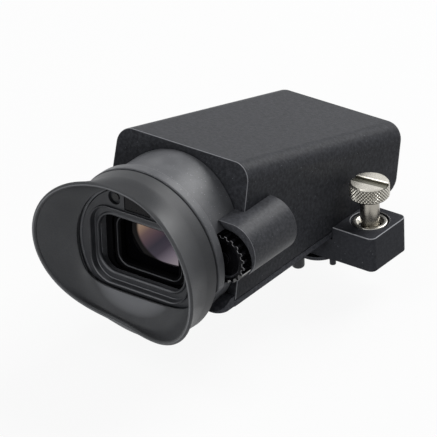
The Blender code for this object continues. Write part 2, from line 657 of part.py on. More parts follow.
def make_bottom_cover():
    form = housing_form()
    level_cut(form, COVER_TOP, above=False)
    cover = put("bottom_cover", form, painted)
    chin = put("cover_chin", chin_form())
    reach = half_width(BODY_REAR_Y, BODY_FLOOR) - FIT
    rounding = put("cover_chin_rounding", block(
        (BODY_X - reach, -CHIN_REACH, BODY_FLOOR - OVERRUN), (BODY_X + reach, 0, BODY_FLOOR + OVERRUN),
        CHIN_CORNER_R))
    keep(chin, rounding)
    posts = put("cover_board_posts", rods(board_places(), BOARD_POST_R, COVER_TOP - FUSE,
                                          COVER_TOP + BOARD_POST_HEIGHT))
    join(cover, chin, posts)
    screw_seat = BODY_FLOOR + SCREW_HEAD_H + FIT
    cut(cover,
        put("cover_screw_holes", rods(post_places, SCREW_R + FIT, BODY_FLOOR - OVERRUN, SEAM)),
        put("cover_screw_seats", rods(post_places, SCREW_HEAD_R + FIT, BODY_FLOOR - OVERRUN, screw_seat)),
        put("cover_post_bores", rods(board_places(), SMALL_SCREW_R + FIT, COVER_TOP,
                                     BOARD_LOW + OVERRUN)),
        put("cover_holder_holes", rods(holder_screw_places(), SMALL_SCREW_R + FIT,
                                       holder_seat() - HOLDER_SCREW_LENGTH - FIT, SEAM + OVERRUN)),
        put("cover_bolt_hole", rods([(BOLT_X, BOLT_Y)], BOLT_R + FIT, BODY_FLOOR - OVERRUN, SEAM)),
        put("cover_foot_hole", rods([(FOOT_X, FOOT_Y)], FOOT_PEG_R + FIT, BODY_FLOOR - OVERRUN,
                                    BODY_FLOOR + FOOT_PEG_RISE + FIT)))
    screws("cover_screw", post_places, SCREW_HEAD_R, SCREW_HEAD_H, SCREW_R, BODY_FLOOR + SCREW_HEAD_H,
           COVER_SCREW_LENGTH, up=-1)
    peg_top = BODY_FLOOR + FOOT_PEG_RISE
    foot_low = BODY_FLOOR - FOOT_STAND
    turned("bumper_foot", [(0, peg_top), (FOOT_PEG_R, peg_top), (FOOT_PEG_R, BODY_FLOOR - FIT),
                           (FOOT_R, BODY_FLOOR - FIT)]
           + arc((FOOT_R - FUSE, foot_low + FUSE), FUSE, 0, -math.pi / 2, 3) + [(0, foot_low)],
           24, moulded, at=(FOOT_X, FOOT_Y, 0))


def board_places():
    half = BOARD_WIDTH / 2 - BOARD_POST_INSET
    rows = (BOARD_REAR_Y + BOARD_POST_INSET, BOARD_FRONT_Y - BOARD_POST_INSET)
    return [(BODY_X + side * half, y) for side in (-1, 1) for y in rows]


def holder_screw_places():
    return [(BODY_X + side * HOLDER_SCREW_X, HOLDER_SCREW_Y) for side in (-1, 1)]


def holder_seat():
    return SEAM + HOLDER_FOOT_THICK + FIT


def make_barrel():
    barrel = turned("eyepiece_barrel", [
        (0, NECK_FLOOR), (NECK_BORE_R, NECK_FLOOR), (NECK_BORE_R, NECK_END), (NECK_R, NECK_END),
        (NECK_R, BAND_END), (BAND_R, BAND_END), (BAND_R, BAND_END - BAND_WIDTH),
        (BARREL_R, BAND_END - BAND_WIDTH), (BARREL_R, BARREL_START), (BARREL_R - WALL, BARREL_START),
        (BARREL_R - WALL, FLANGE_FRONT), (0, FLANGE_FRONT)], 56, moulded, eyepiece_axis)
    places = pairs(BARREL_SCREW_X, *BARREL_SCREW_RISES)
    bosses = put("barrel_bosses", rods(places, POST_R, BARREL_START, FLANGE_FRONT + FUSE),
                 carrier=eyepiece_axis)
    below = put("barrel_below", block((BODY_X - 2 * BARREL_R, -BAND_END + BAND_WIDTH, EYE_Z - 2 * BARREL_R),
                                      (BODY_X + 2 * BARREL_R, 0, BODY_FLOOR)))
    flat = BAND_R - BAND_FLAT_CUT
    flats = [block((flat, -BAND_R, BAND_END - BAND_WIDTH), (flat + OVERRUN, BAND_R, BAND_END))
             for side in (-1, 1)]
    flats[0].transform(Matrix.Rotation(-BAND_FLAT_TURN, 4, "Z"))
    flats[1].transform(Matrix.Rotation(math.pi + BAND_FLAT_TURN, 4, "Z"))
    join(barrel, bosses)
    cut(barrel, put("barrel_flats", gather(flats), carrier=eyepiece_axis), below, chin_clear, housing_clear)
    spigot = put("barrel_spigot", bar(*spigot_outline, SPIGOT_END, FLANGE_FRONT + FUSE,
                                      CELL_CORNER_R + SPIGOT_WALL), carrier=eyepiece_axis)
    join(barrel, spigot)
    slot_end = CELL_START + NUT_LENGTH + LENS_TRAVEL + FUSE
    slot_rise = DIAL_Z - EYE_Z
    cut(barrel,
        put("barrel_bore", bar(*bore_outline, SPIGOT_END - OVERRUN, NECK_END, CELL_CORNER_R + FIT),
            carrier=eyepiece_axis),
        put("barrel_well", bar(bore_outline[0] + 2 * WELL_LEDGE, bore_outline[1] + 2 * WELL_LEDGE_LOW,
                               NECK_FLOOR - WELL_DEPTH, NECK_END, WELL_CORNER_R), carrier=eyepiece_axis),
        put("barrel_slot", block((0, slot_rise - NUT_ARM_HEIGHT / 2 - FIT, SPIGOT_END - OVERRUN),
                                 (spigot_outline[0], slot_rise + NUT_ARM_HEIGHT / 2 + FIT, slot_end)),
            carrier=eyepiece_axis),
        put("barrel_pocket", rods([(0, 0)], DIAL_R + POCKET_GAP, BARREL_START, POCKET_END, 32),
            carrier=dial_axis),
        put("barrel_screw_bores", rods(places, SCREW_R + FIT, BARREL_START, FLANGE_FRONT - FIT),
            carrier=eyepiece_axis),
        put("barrel_plate_bores", rods(pairs(PLATE_SCREW_X, PLATE_SCREW_RISE), SMALL_SCREW_R + FIT,
                                       BAND_END - OVERRUN, NECK_END), carrier=eyepiece_axis),
        put("barrel_sensor_pocket", block(
            (-SENSOR_WIDTH / 2 - FIT, SENSOR_RISE - SENSOR_HEIGHT / 2 - FIT,
             NECK_FLOOR - SENSOR_BOARD_THICK - FIT),
            (SENSOR_WIDTH / 2 + FIT, SENSOR_RISE + SENSOR_HEIGHT / 2 + FIT, NECK_END)),
            carrier=eyepiece_axis))
    for row, rise, seat in zip(("upper", "lower"), BARREL_SCREW_RISES, barrel_screw_seats):
        screws(f"barrel_screw_{row}", pairs(BARREL_SCREW_X, rise), SCREW_HEAD_R, SCREW_HEAD_H, SCREW_R,
               -seat - BARREL_SCREW_SEAT - FIT, BARREL_SCREW_LENGTH, up=-1, carrier=eyepiece_axis)


def guard_form(low, high):
    """The guard's outline, round on the right and level over the barrel, between two places."""
    x, rise = guard_centre
    return block((x - 2 * GUARD_R, rise - GUARD_R, low), (x + GUARD_R, rise + GUARD_R, high),
                 GUARD_R - FIT, 14, sides=(1,))


def guard_mouth():
    """A skewed cone from the recess to just inside the guard's rim, run on past the rim."""
    run = (MOUTH_DEPTH + FUSE) / MOUTH_DEPTH
    outer = RECESS_R + (GUARD_R - GUARD_LIP - RECESS_R) * run
    shape = bmesh.new()
    bmesh.ops.create_cone(shape, cap_ends=True, segments=40, radius1=RECESS_R, radius2=outer,
                          depth=MOUTH_DEPTH + FUSE,
                          matrix=Matrix.Translation((0, 0, GUARD_END + (FUSE - MOUTH_DEPTH) / 2)))
    ends = [vert for vert in shape.verts if vert.co.z > GUARD_END]
    bmesh.ops.translate(shape, vec=(guard_centre[0] * run, guard_centre[1] * run, 0), verts=ends)
    return shape


def make_dial_housing():
    form = guard_form(GUARD_END - GUARD_LENGTH, GUARD_END)
    rim = [edge for edge in form.edges if all(abs(vert.co.z - GUARD_END) < MERGE for vert in edge.verts)]
    bevel(form, rim, GUARD_RIM_R, 2)
    guard = put("dial_housing", form, painted, dial_axis)
    floor_low = RECESS_FLOOR - RECESS_FLOOR_THICK
    barrel_clear = put("guard_barrel_clear", rods([(0, 0)], BARREL_R + FIT, BARREL_START - OVERRUN,
                                                  BAND_END + OVERRUN, 56), carrier=eyepiece_axis)
    cut(guard, housing_clear, barrel_clear,
        put("guard_recess", rods([(0, 0)], RECESS_R, RECESS_FLOOR, GUARD_END + OVERRUN, 40),
            carrier=dial_axis),
        put("guard_mouth", guard_mouth(), carrier=dial_axis),
        put("guard_drive_space", rods([(0, 0)], DRIVE_SPACE_R, floor_low - DRIVE_SPACE_LENGTH,
                                      floor_low + FUSE, 24), carrier=dial_axis))
    floor = put("guard_floor", rods([(0, 0)], DIAL_R + POCKET_GAP - FIT, floor_low, RECESS_FLOOR, 32),
                carrier=dial_axis)
    wall = BODY_X + half_width(-RECESS_FLOOR, DIAL_Z)
    limit = put("guard_floor_limit", guard_form(floor_low - FUSE, RECESS_FLOOR + FUSE), carrier=dial_axis)
    join(limit, put("guard_floor_inside", block((wall - 2 * GUARD_R, -RECESS_FLOOR - FUSE / 2, BODY_FLOOR),
                                                (wall, -floor_low + FUSE / 2, BODY_TOP))))
    keep(floor, limit)
    join(guard, floor)
    cut(guard, put("guard_bush_bore", rods([(0, 0)], SHAFT_R + BUSH_WALL + 2 * FIT, floor_low - FUSE,
                                           GUARD_END, 24), carrier=dial_axis))


def make_dial():
    top = DIAL_START + DIAL_THICK
    shape = bmesh.new()
    teeth = []
    foot = DIAL_R - DIAL_RIB
    for rib in range(DIAL_RIBS):
        for share, radius in zip(DIAL_TOOTH_SHARES, (foot, foot, DIAL_R, DIAL_R)):
            turn = 2 * math.pi * (rib + share) / DIAL_RIBS
            teeth.append(shape.verts.new((radius * math.cos(turn), radius * math.sin(turn), DIAL_START)))
    face = shape.faces.new(teeth)
    carried = bmesh.ops.extrude_face_region(shape, geom=[face])["geom"]
    corners = [item for item in carried if isinstance(item, bmesh.types.BMVert)]
    bmesh.ops.translate(shape, vec=(0, 0, DIAL_THICK), verts=corners)
    dial = put("diopter_dial", shape, moulded, dial_axis)
    cut(dial,
        put("dial_dish", rods([(0, 0)], DIAL_DISH_R, top - DIAL_DISH_DEPTH, top + OVERRUN, 32),
            carrier=dial_axis),
        put("dial_bore", rods([(0, 0)], SHAFT_R + FIT, DIAL_START - OVERRUN, top + OVERRUN, 24),
            carrier=dial_axis))
    shaft_top = top - DIAL_DISH_DEPTH
    shaft_low = RECESS_FLOOR - BUSH_LENGTH - 2 * FIT
    shaft = turned("dial_shaft", [(0, shaft_top), (SHAFT_R, shaft_top), (SHAFT_R, shaft_low),
                                  (LEAD_R, shaft_low), (LEAD_R, shaft_low - LEAD_LENGTH),
                                  (0, shaft_low - LEAD_LENGTH)], 24, steel, dial_axis)
    cut(shaft, put("dial_shaft_bore", rods([(0, 0)], DIAL_SCREW_R + FIT, shaft_top - DIAL_SCREW_LENGTH - FIT,
                                           top + OVERRUN), carrier=dial_axis))
    screw_seat = shaft_top + FIT
    turned("dial_screw", [(0, screw_seat + DIAL_SCREW_HEAD_H),
                          (DIAL_SCREW_HEAD_R, screw_seat + DIAL_SCREW_HEAD_H),
                          (DIAL_SCREW_HEAD_R, screw_seat), (DIAL_SCREW_R, screw_seat),
                          (DIAL_SCREW_R, screw_seat - DIAL_SCREW_LENGTH),
                          (0, screw_seat - DIAL_SCREW_LENGTH)], 24, steel, dial_axis)
    turned("dial_bush", [(SHAFT_R + FIT + BUSH_WALL, RECESS_FLOOR),
                         (SHAFT_R + FIT + BUSH_WALL, RECESS_FLOOR - BUSH_LENGTH),
                         (SHAFT_R + FIT, RECESS_FLOOR - BUSH_LENGTH), (SHAFT_R + FIT, RECESS_FLOOR)],
           24, bronze, dial_axis, ring=True)
    washer_low = RECESS_FLOOR + FIT
    turned("wave_washer", [(WASHER_R, washer_low + WASHER_THICK), (WASHER_R, washer_low),
                           (SHAFT_R + FIT, washer_low), (SHAFT_R + FIT, washer_low + WASHER_THICK)],
           32, steel, dial_axis, ring=True)


def make_lens_cell():
    cell = put("lens_cell", bar(*cell_outline, CELL_START, CELL_END, CELL_CORNER_R), moulded, eyepiece_axis)
    inner = (CELL_WIDTH - 2 * CELL_WALL, CELL_HEIGHT - 2 * CELL_WALL)
    corner = CELL_CORNER_R - CELL_WALL
    seat = CELL_START + CELL_LIP_LENGTH
    cut(cell,
        put("cell_hollow", bar(*inner, seat, CELL_END + OVERRUN, corner), carrier=eyepiece_axis),
        put("cell_mouth", bar(inner[0] - 2 * CELL_LIP, inner[1] - 2 * CELL_LIP, CELL_START - OVERRUN,
                              seat + FUSE, corner - CELL_LIP / 2), carrier=eyepiece_axis))
    field_low = seat + FIT
    spacer_low = field_low + FIELD_LENS_THICK
    eye_low = spacer_low + SPACER_LENGTH
    eye_top = eye_low + EYE_LENS_THICK
    for name, low, thick, radius in (("field_lens", field_low, FIELD_LENS_THICK, FIELD_LENS_R),
                                     ("eye_lens", eye_low, EYE_LENS_THICK, EYE_LENS_R)):
        turn = math.asin(LENS_BLANK_R / radius)
        rear = arc((0, low + thick - radius), radius, math.pi / 2, math.pi / 2 - turn, 3)
        front = arc((0, low + radius), radius, turn - math.pi / 2, -math.pi / 2, 3)
        lens = turned(name, rear + front, 24, lens_glass, eyepiece_axis)
        keep(lens, put(name + "_outline", bar(*lens_outline, low - OVERRUN, low + thick + OVERRUN,
                                              corner - FIT), carrier=eyepiece_axis))
    for name, low, high in (("lens_spacer", spacer_low, eye_low),
                            ("lens_retainer", eye_top - FIT, CELL_END - FIT)):
        ring = put(name, bar(*lens_outline, low, high, corner - FIT), moulded, eyepiece_axis)
        opening = bar(lens_outline[0] - 2 * FRAME_WALL, lens_outline[1] - 2 * FRAME_WALL, low - OVERRUN,
                      high + OVERRUN, corner - FRAME_WALL)
        cut(ring, put(name + "_opening", opening, carrier=eyepiece_axis))
    side = DIAL_X - BODY_X
    rise = DIAL_Z - EYE_Z
    nut = put("drive_nut", block((CELL_WIDTH / 2 + FIT, rise - NUT_ARM_HEIGHT / 2, CELL_START),
                                 (side, rise + NUT_ARM_HEIGHT / 2, CELL_START + NUT_LENGTH)),
              moulded, eyepiece_axis)
    join(nut, put("nut_ring", rods([(side, rise)], NUT_R, CELL_START, CELL_START + NUT_LENGTH, 24),
                  carrier=eyepiece_axis))
    cut(nut, put("nut_bore", rods([(side, rise)], LEAD_R + FIT, CELL_START - OVERRUN,
                                  CELL_START + NUT_LENGTH + OVERRUN, 24), carrier=eyepiece_axis))


def window_bar(grow, low, high):
    """The window's outline, grown on all sides, between two places."""
    return bar(WINDOW_WIDTH + 2 * grow, WINDOW_HEIGHT + 2 * grow, low, high, WINDOW_CORNER_R + grow, 6)


def make_eyepiece_plate():
    crest = PLATE_BACK + RIDGE_PROUD
    plate = put("eyepiece_plate", rods([(0, 0)], PLATE_R, PLATE_FRONT, PLATE_BACK, 48), moulded,
                eyepiece_axis)
    ridge = put("plate_ridge", bar(RIDGE_WIDTH, RIDGE_HEIGHT, PLATE_BACK - FUSE, crest, RIDGE_CORNER_R, 6),
                carrier=window_axis)
    groove_floor = PLATE_FRONT + GROOVE_FLOOR
    bead_top = groove_floor + BEAD_RISE
    sunk = put("plate_sunk", bar(RIDGE_WIDTH - 2 * RIDGE_CREST, RIDGE_HEIGHT - 2 * RIDGE_CREST, groove_floor,
                                 crest + OVERRUN, RIDGE_CORNER_R - RIDGE_CREST, 6), carrier=window_axis)
    bead = put("plate_bead", window_bar(BEAD_WIDTH, groove_floor - FUSE, bead_top), carrier=window_axis)
    join(plate, ridge)
    cut(plate, sunk)
    join(plate, bead)
    places = pairs(PLATE_SCREW_X, PLATE_SCREW_RISE)
    notch_low = PLATE_BACK - SENSOR_NOTCH_DEPTH
    half, rise = SENSOR_WIDTH / 2, SENSOR_HEIGHT / 2
    cut(plate,
        put("plate_window", window_bar(0, PLATE_FRONT - OVERRUN, bead_top + OVERRUN), carrier=window_axis),
        put("plate_recesses", rods(places, PLATE_RECESS_R, PLATE_BACK - PLATE_RECESS_DEPTH,
                                   crest + OVERRUN), carrier=eyepiece_axis),
        put("plate_screw_holes", rods(places, SMALL_SCREW_R + FIT, PLATE_FRONT - OVERRUN, crest),
            carrier=eyepiece_axis),
        put("plate_notch", block((-half - FIT, SENSOR_RISE - rise - FIT, notch_low),
                                 (half + FIT, SENSOR_RISE + rise + FIT, crest + OVERRUN)),
            carrier=eyepiece_axis),
        put("plate_sensor_port", block(
            (-half + SENSOR_LEDGE, SENSOR_RISE - rise + SENSOR_LEDGE, PLATE_FRONT - OVERRUN),
            (half - SENSOR_LEDGE, SENSOR_RISE + rise - SENSOR_LEDGE, crest)), carrier=eyepiece_axis))
    put("eye_sensor_window", block((-half, SENSOR_RISE - rise, notch_low + FIT),
                                   (half, SENSOR_RISE + rise, notch_low + FIT + SENSOR_THICK)),
        dark_glass, eyepiece_axis)
    board_low = NECK_FLOOR - SENSOR_BOARD_THICK
    put("eye_sensor_board", block((-half, SENSOR_RISE - rise, board_low),
                                  (half, SENSOR_RISE + rise, NECK_FLOOR)), board_green, eyepiece_axis)
    screws("plate_screw", places, SMALL_HEAD_R, SMALL_HEAD_H, SMALL_SCREW_R,
           PLATE_BACK - PLATE_RECESS_DEPTH + FIT, PLATE_SCREW_LENGTH, carrier=eyepiece_axis)


def throat_radius(rise_share):
    """Radius of the eyecup's throat in a direction: a circle that blends into a flat at the bottom."""
    widest = PLATE_R + THROAT_MARGIN
    flat = RIDGE_HEIGHT / 2 - RIDGE_RISE + THROAT_FLAT_MARGIN
    return widest / (1 + (widest * max(0, -rise_share) / flat) ** THROAT_POWER) ** (1 / THROAT_POWER)


def make_eyecup():
    low = BAND_END + RING_GAP
    high = low + RING_LENGTH
    lip_r = RING_INNER_R - RING_LIP
    turned("eyecup_ring", [(RING_OUTER_R, high), (RING_OUTER_R, low), (RING_INNER_R, low),
                           (RING_INNER_R, high - RING_LIP_THICK), (lip_r, high - RING_LIP_THICK),
                           (lip_r, high)], 48, moulded, eyepiece_axis, ring=True)
    base = low + CUP_SETBACK
    waist = base + CUP_WAIST_RUN
    base_r = BAND_R - CUP_BASE_STEP
    waist_r = BAND_R - CUP_WAIST_STEP
    grip = RING_OUTER_R + FIT
    shelf = high + FIT
    shape = bmesh.new()
    columns = []
    for side in range(CUP_SIDES):
        turn = 2 * math.pi * side / CUP_SIDES
        outward = Vector((math.cos(turn), math.sin(turn), 0))
        oval = math.cos(2 * (turn - RIM_TURN))
        radius = BAND_R + RIM_FLARE + RIM_OVAL * oval
        rim = outward * radius + Vector((RIM_SIDE, RIM_RISE, CUP_RIM_AT + RIM_SADDLE * oval
                                         + RIM_LEAN_SHARE * radius * outward.x))
        foot = outward * waist_r + Vector((0, 0, waist))
        outer = [outward * base_r + Vector((0, 0, base)), foot]
        outer += [foot.lerp(rim, share) for share in CUP_RUN_SHARES]
        edge = rim - outward * CUP_WALL - Vector((0, 0, CUP_WALL / 2))
        lip = [rim - Vector((0, 0, CUP_WALL / 2))]
        lip += [rim - outward * CUP_WALL * share for share in CUP_LIP_SHARES] + [edge]
        throat = outward * throat_radius(outward.y)
        lowest = throat + Vector((0, 0, shelf + THROAT_EDGE))
        bend = outer[2] - outward * CUP_WALL
        inner = [edge.lerp(bend, share).lerp(bend.lerp(lowest, share), share) for share in CUP_BOWL_SHARES]
        inner += [lowest, throat + Vector((0, 0, shelf)), outward * grip + Vector((0, 0, shelf)),
                  outward * grip + Vector((0, 0, base))]
        columns.append([shape.verts.new(point) for point in outer + lip + inner])
    for first, second in zip(columns, columns[1:] + columns[:1]):
        for row in range(len(first)):
            after = (row + 1) % len(first)
            shape.faces.new((first[row], second[row], second[after], first[after]))
    put("eyecup", shape, rubber, eyepiece_axis)


def make_display():
    tunnel_low = HOLDER_FACE + HOLDER_THICK + FIT
    tunnel = put("light_tunnel", bar(TUNNEL_WIDTH, TUNNEL_HEIGHT, tunnel_low, TUNNEL_END, TUNNEL_CORNER_R),
                 moulded, eyepiece_axis)
    cut(tunnel, put("tunnel_hollow", bar(TUNNEL_WIDTH - 2 * TUNNEL_WALL, TUNNEL_HEIGHT - 2 * TUNNEL_WALL,
                                         tunnel_low - OVERRUN, TUNNEL_END + OVERRUN,
                                         TUNNEL_CORNER_R - TUNNEL_WALL), carrier=eyepiece_axis))
    holder = put("display_holder", block(
        (BODY_X - HOLDER_WIDTH / 2, -HOLDER_FACE - HOLDER_THICK, SEAM),
        (BODY_X + HOLDER_WIDTH / 2, -HOLDER_FACE, HOLDER_TOP)), moulded)
    foot = put("holder_foot", block(
        (BODY_X - HOLDER_WIDTH / 2, -HOLDER_FACE - FUSE, SEAM),
        (BODY_X + HOLDER_WIDTH / 2, -HOLDER_FACE + HOLDER_FOOT_LENGTH, SEAM + HOLDER_FOOT_THICK)))
    display_places = pairs(DISPLAY_SCREW_X, DISPLAY_SCREW_RISE)
    join(holder, foot)
    cut(holder,
        put("holder_window", bar(HOLDER_WINDOW_WIDTH, HOLDER_WINDOW_HEIGHT, HOLDER_FACE - OVERRUN,
                                 tunnel_low, FUSE), carrier=eyepiece_axis),
        put("holder_screw_holes", rods(holder_screw_places(), SMALL_SCREW_R + FIT, COVER_TOP,
                                       SEAM + OVERRUN)),
        put("holder_display_bores", rods(display_places, SMALL_SCREW_R + FIT, HOLDER_FACE - OVERRUN,
                                         HOLDER_FACE + HOLDER_THICK + OVERRUN), carrier=eyepiece_axis))
    screws("holder_screw", holder_screw_places(), SMALL_HEAD_R, SMALL_HEAD_H, SMALL_SCREW_R, holder_seat(),
           HOLDER_SCREW_LENGTH)
    panel_low = HOLDER_FACE - FIT - PANEL_THICK
    put("display_panel", bar(PANEL_WIDTH, PANEL_HEIGHT, panel_low, panel_low + PANEL_THICK, FUSE, 1),
        dark_glass, eyepiece_axis)
    half = DRIVER_WIDTH / 2
    driver = put("display_board", block((-half, -DRIVER_HEIGHT / 2, DRIVER_FACE),
                                        (half, DRIVER_HEIGHT / 2, DRIVER_FACE + DRIVER_THICK)),
                 board_green, eyepiece_axis)
    spreader = put("heat_spreader", block(
        (-half, DRIVER_HEIGHT / 2 - SPREADER_HEIGHT, SPREADER_FACE),
        (half, DRIVER_HEIGHT / 2, SPREADER_FACE + SPREADER_THICK)), sheet_metal, eyepiece_axis)
    holes = put("display_screw_holes", rods(display_places, SMALL_SCREW_R + FIT, SPREADER_FACE - OVERRUN,
                                            HOLDER_FACE), carrier=eyepiece_axis)
    cut(driver, holes)
    cut(spreader, holes)
    screws("display_screw", display_places, SMALL_HEAD_R, SMALL_HEAD_H, SMALL_SCREW_R, SPREADER_FACE - FIT,
           DISPLAY_SCREW_LENGTH, up=-1, carrier=eyepiece_axis)


def make_boards():
    board = put("main_board", block((BODY_X - BOARD_WIDTH / 2, BOARD_REAR_Y, BOARD_LOW),
                                    (BODY_X + BOARD_WIDTH / 2, BOARD_FRONT_Y, BOARD_TOP)), board_green)
    length = BOARD_FRONT_Y - BOARD_REAR_Y
    middle = (BOARD_FRONT_Y + BOARD_REAR_Y) / 2
    for number, (size, share) in enumerate(zip(CHIP_SIZES, CHIP_PLACE_SHARES)):
        x, y = BODY_X + share[0] * BOARD_WIDTH, middle + share[1] * length
        join(board, put(f"board_chip_{number}", block((x - size[0] / 2, y - size[1] / 2, BOARD_LOW + FIT),
                                                      (x + size[0] / 2, y + size[1] / 2,
                                                       BOARD_TOP + size[2]))))
    cut(board, put("board_holes", rods(board_places(), SMALL_SCREW_R + FIT, BOARD_LOW - OVERRUN,
                                       BOARD_TOP + OVERRUN)))
    screws("board_screw", board_places(), SMALL_HEAD_R, SMALL_HEAD_H, SMALL_SCREW_R, BOARD_TOP + FIT,
           BOARD_SCREW_LENGTH)
    back = -DRIVER_FACE + FIT
    level = BOARD_LOW - FIT
    centre = (back + RIBBON_THICK + RIBBON_BEND_R, level + RIBBON_BEND_R)
    outer = arc(centre, RIBBON_BEND_R + RIBBON_THICK, math.pi, 1.5 * math.pi, 5)
    inner = arc(centre, RIBBON_BEND_R, 1.5 * math.pi, math.pi, 5)
    end = BOARD_REAR_Y + RIBBON_REACH
    top = centre[1] + RIBBON_RISE
    put("ribbon_cable", prism([(back, top)] + outer + [(end, level - RIBBON_THICK), (end, level)] + inner
                              + [(back + RIBBON_THICK, top)], BODY_X - RIBBON_WIDTH / 2,
                              BODY_X + RIBBON_WIDTH / 2), moulded)


def make_front_panel():
    panel = put("front_panel", bar(SOCKET_PLATE_WIDTH, SOCKET_PLATE_HEIGHT, -SOCKET_PLATE_THICK, 0,
                                   SOCKET_PLATE_R), moulded, socket_axis)
    socket_place = (SOCKET_X, 0)
    cut(panel,
        put("panel_socket_hole", rods([socket_place], SOCKET_R + FIT, -OVERRUN, OVERRUN, 32),
            carrier=socket_axis),
        put("panel_screw_holes", rods(panel_screw_places, SMALL_SCREW_R + FIT, -OVERRUN, OVERRUN),
            carrier=socket_axis))
    top = SOCKET_FLANGE_THICK + FIT
    low = -SOCKET_LENGTH
    turned("cable_socket", [
        (SOCKET_FLANGE_R, top), (SOCKET_FLANGE_R, FIT), (SOCKET_R, FIT), (SOCKET_R, low), (0, low),
        (0, low + SOCKET_FLOOR), (SOCKET_BORE_R, low + SOCKET_FLOOR), (SOCKET_BORE_R, top)],
        32, moulded, socket_axis, ring=True, at=(SOCKET_X, 0, 0))
    floor = low + SOCKET_FLOOR + FIT
    circle = [(SOCKET_X + x, y) for x, y in arc((0, 0), PIN_CIRCLE_R, 0, 2 * math.pi * (1 - 1 / PIN_COUNT),
                                                PIN_COUNT - 1)]
    pins = put("socket_pins", rods([socket_place], SOCKET_BORE_R - FIT, floor, floor + PIN_DISC_THICK, 32),
               bronze, socket_axis)
    join(pins, put("socket_pin_tips", rods(circle, PIN_R, floor + FIT, floor + PIN_DISC_THICK + PIN_LENGTH,
                                           8), carrier=socket_axis))
    screws("panel_screw", panel_screw_places, SMALL_HEAD_R, SMALL_HEAD_H, SMALL_SCREW_R, FIT,
           PANEL_SCREW_LENGTH, carrier=socket_axis)


def make_arm():
    half = ARM_WIDTH / 2
    block_left = BODY_X + half_width(-half, BODY_FLOOR) + FIT
    arm = put("mount_arm", block((block_left, -half, 0), (BLOCK_RIGHT, half, BLOCK_HEIGHT), BLOCK_CORNER_R,
                                 4, sides=(1,)), painted)
    tongue = put("arm_tongue", block((TONGUE_LEFT, -half, 0), (block_left + FUSE, half, TONGUE_HEIGHT),
                                     TONGUE_END_R, 6, sides=(-1,)))
    join(arm, tongue)
    axis = [(THUMB_X, THUMB_Y)]
    bolt = [(BOLT_X, BOLT_Y)]
    pins = [(LOCATING_X, side * LOCATING_Y) for side in (-1, 1)]
    cut(arm,
        put("arm_ring_seat", rods(axis, EYELET_R + FIT, EYELET_LOW - FIT, BLOCK_HEIGHT + OVERRUN, 32)),
        put("arm_ring_moat", rods(axis, EYELET_R + EYELET_MOAT, BLOCK_HEIGHT - EYELET_MOAT_DEPTH,
                                  BLOCK_HEIGHT + OVERRUN / 2, 32)),
        put("arm_screw_space", rods(axis, SCREW_SPACE_R, LEDGE, BLOCK_HEIGHT, 32)),
        put("arm_screw_hole", rods(axis, LEDGE_HOLE_R, -OVERRUN, BLOCK_HEIGHT, 24)),
        put("arm_bolt_hole", rods(bolt, BOLT_R + FIT, -OVERRUN, BODY_FLOOR, 24)),
        put("arm_pin_holes", rods(pins, LOCATING_R + FIT, -OVERRUN, LOCATING_DEPTH + FIT)))
    pad_low = TONGUE_HEIGHT + FIT
    bolt_axis = (BOLT_X, BOLT_Y, 0)
    turned("arm_pad", [(PAD_R, pad_low + PAD_THICK), (PAD_R, pad_low), (BOLT_R + FIT, pad_low),
                       (BOLT_R + FIT, pad_low + PAD_THICK)], 32, rubber, ring=True, at=bolt_axis)
    nut_low = COVER_TOP + FIT
    bolt_top = nut_low + ARM_NUT_H + BOLT_STAND
    head_low = -FIT - BOLT_HEAD_H
    made = turned("arm_bolt", [(0, bolt_top), (BOLT_R, bolt_top), (BOLT_R, -FIT), (BOLT_HEAD_R, -FIT),
                               (BOLT_HEAD_R, head_low), (0, head_low)], 32, steel, at=bolt_axis)
    cut(made, put("bolt_slot", block(
        (BOLT_X - 2 * BOLT_HEAD_R, BOLT_Y - BOLT_SLOT_WIDTH / 2, head_low - OVERRUN),
        (BOLT_X + 2 * BOLT_HEAD_R, BOLT_Y + BOLT_SLOT_WIDTH / 2, head_low + BOLT_SLOT_DEPTH))))
    nut = put("arm_nut", rods(bolt, ARM_NUT_R, nut_low, nut_low + ARM_NUT_H, 6), steel)
    cut(nut, put("arm_nut_bore", rods(bolt, BOLT_R + FIT, nut_low - OVERRUN, nut_low + OVERRUN, 24)))
    tip = arc((LOCATING_R - FIT, FIT - LOCATING_STAND), FIT, 0, -math.pi / 2, 2)
    for number, (x, y) in enumerate(pins, 1):
        turned(f"locating_pin_{number}", [(0, LOCATING_DEPTH), (LOCATING_R, LOCATING_DEPTH)] + tip
               + [(0, -LOCATING_STAND)], 16, steel, at=(x, y, 0))


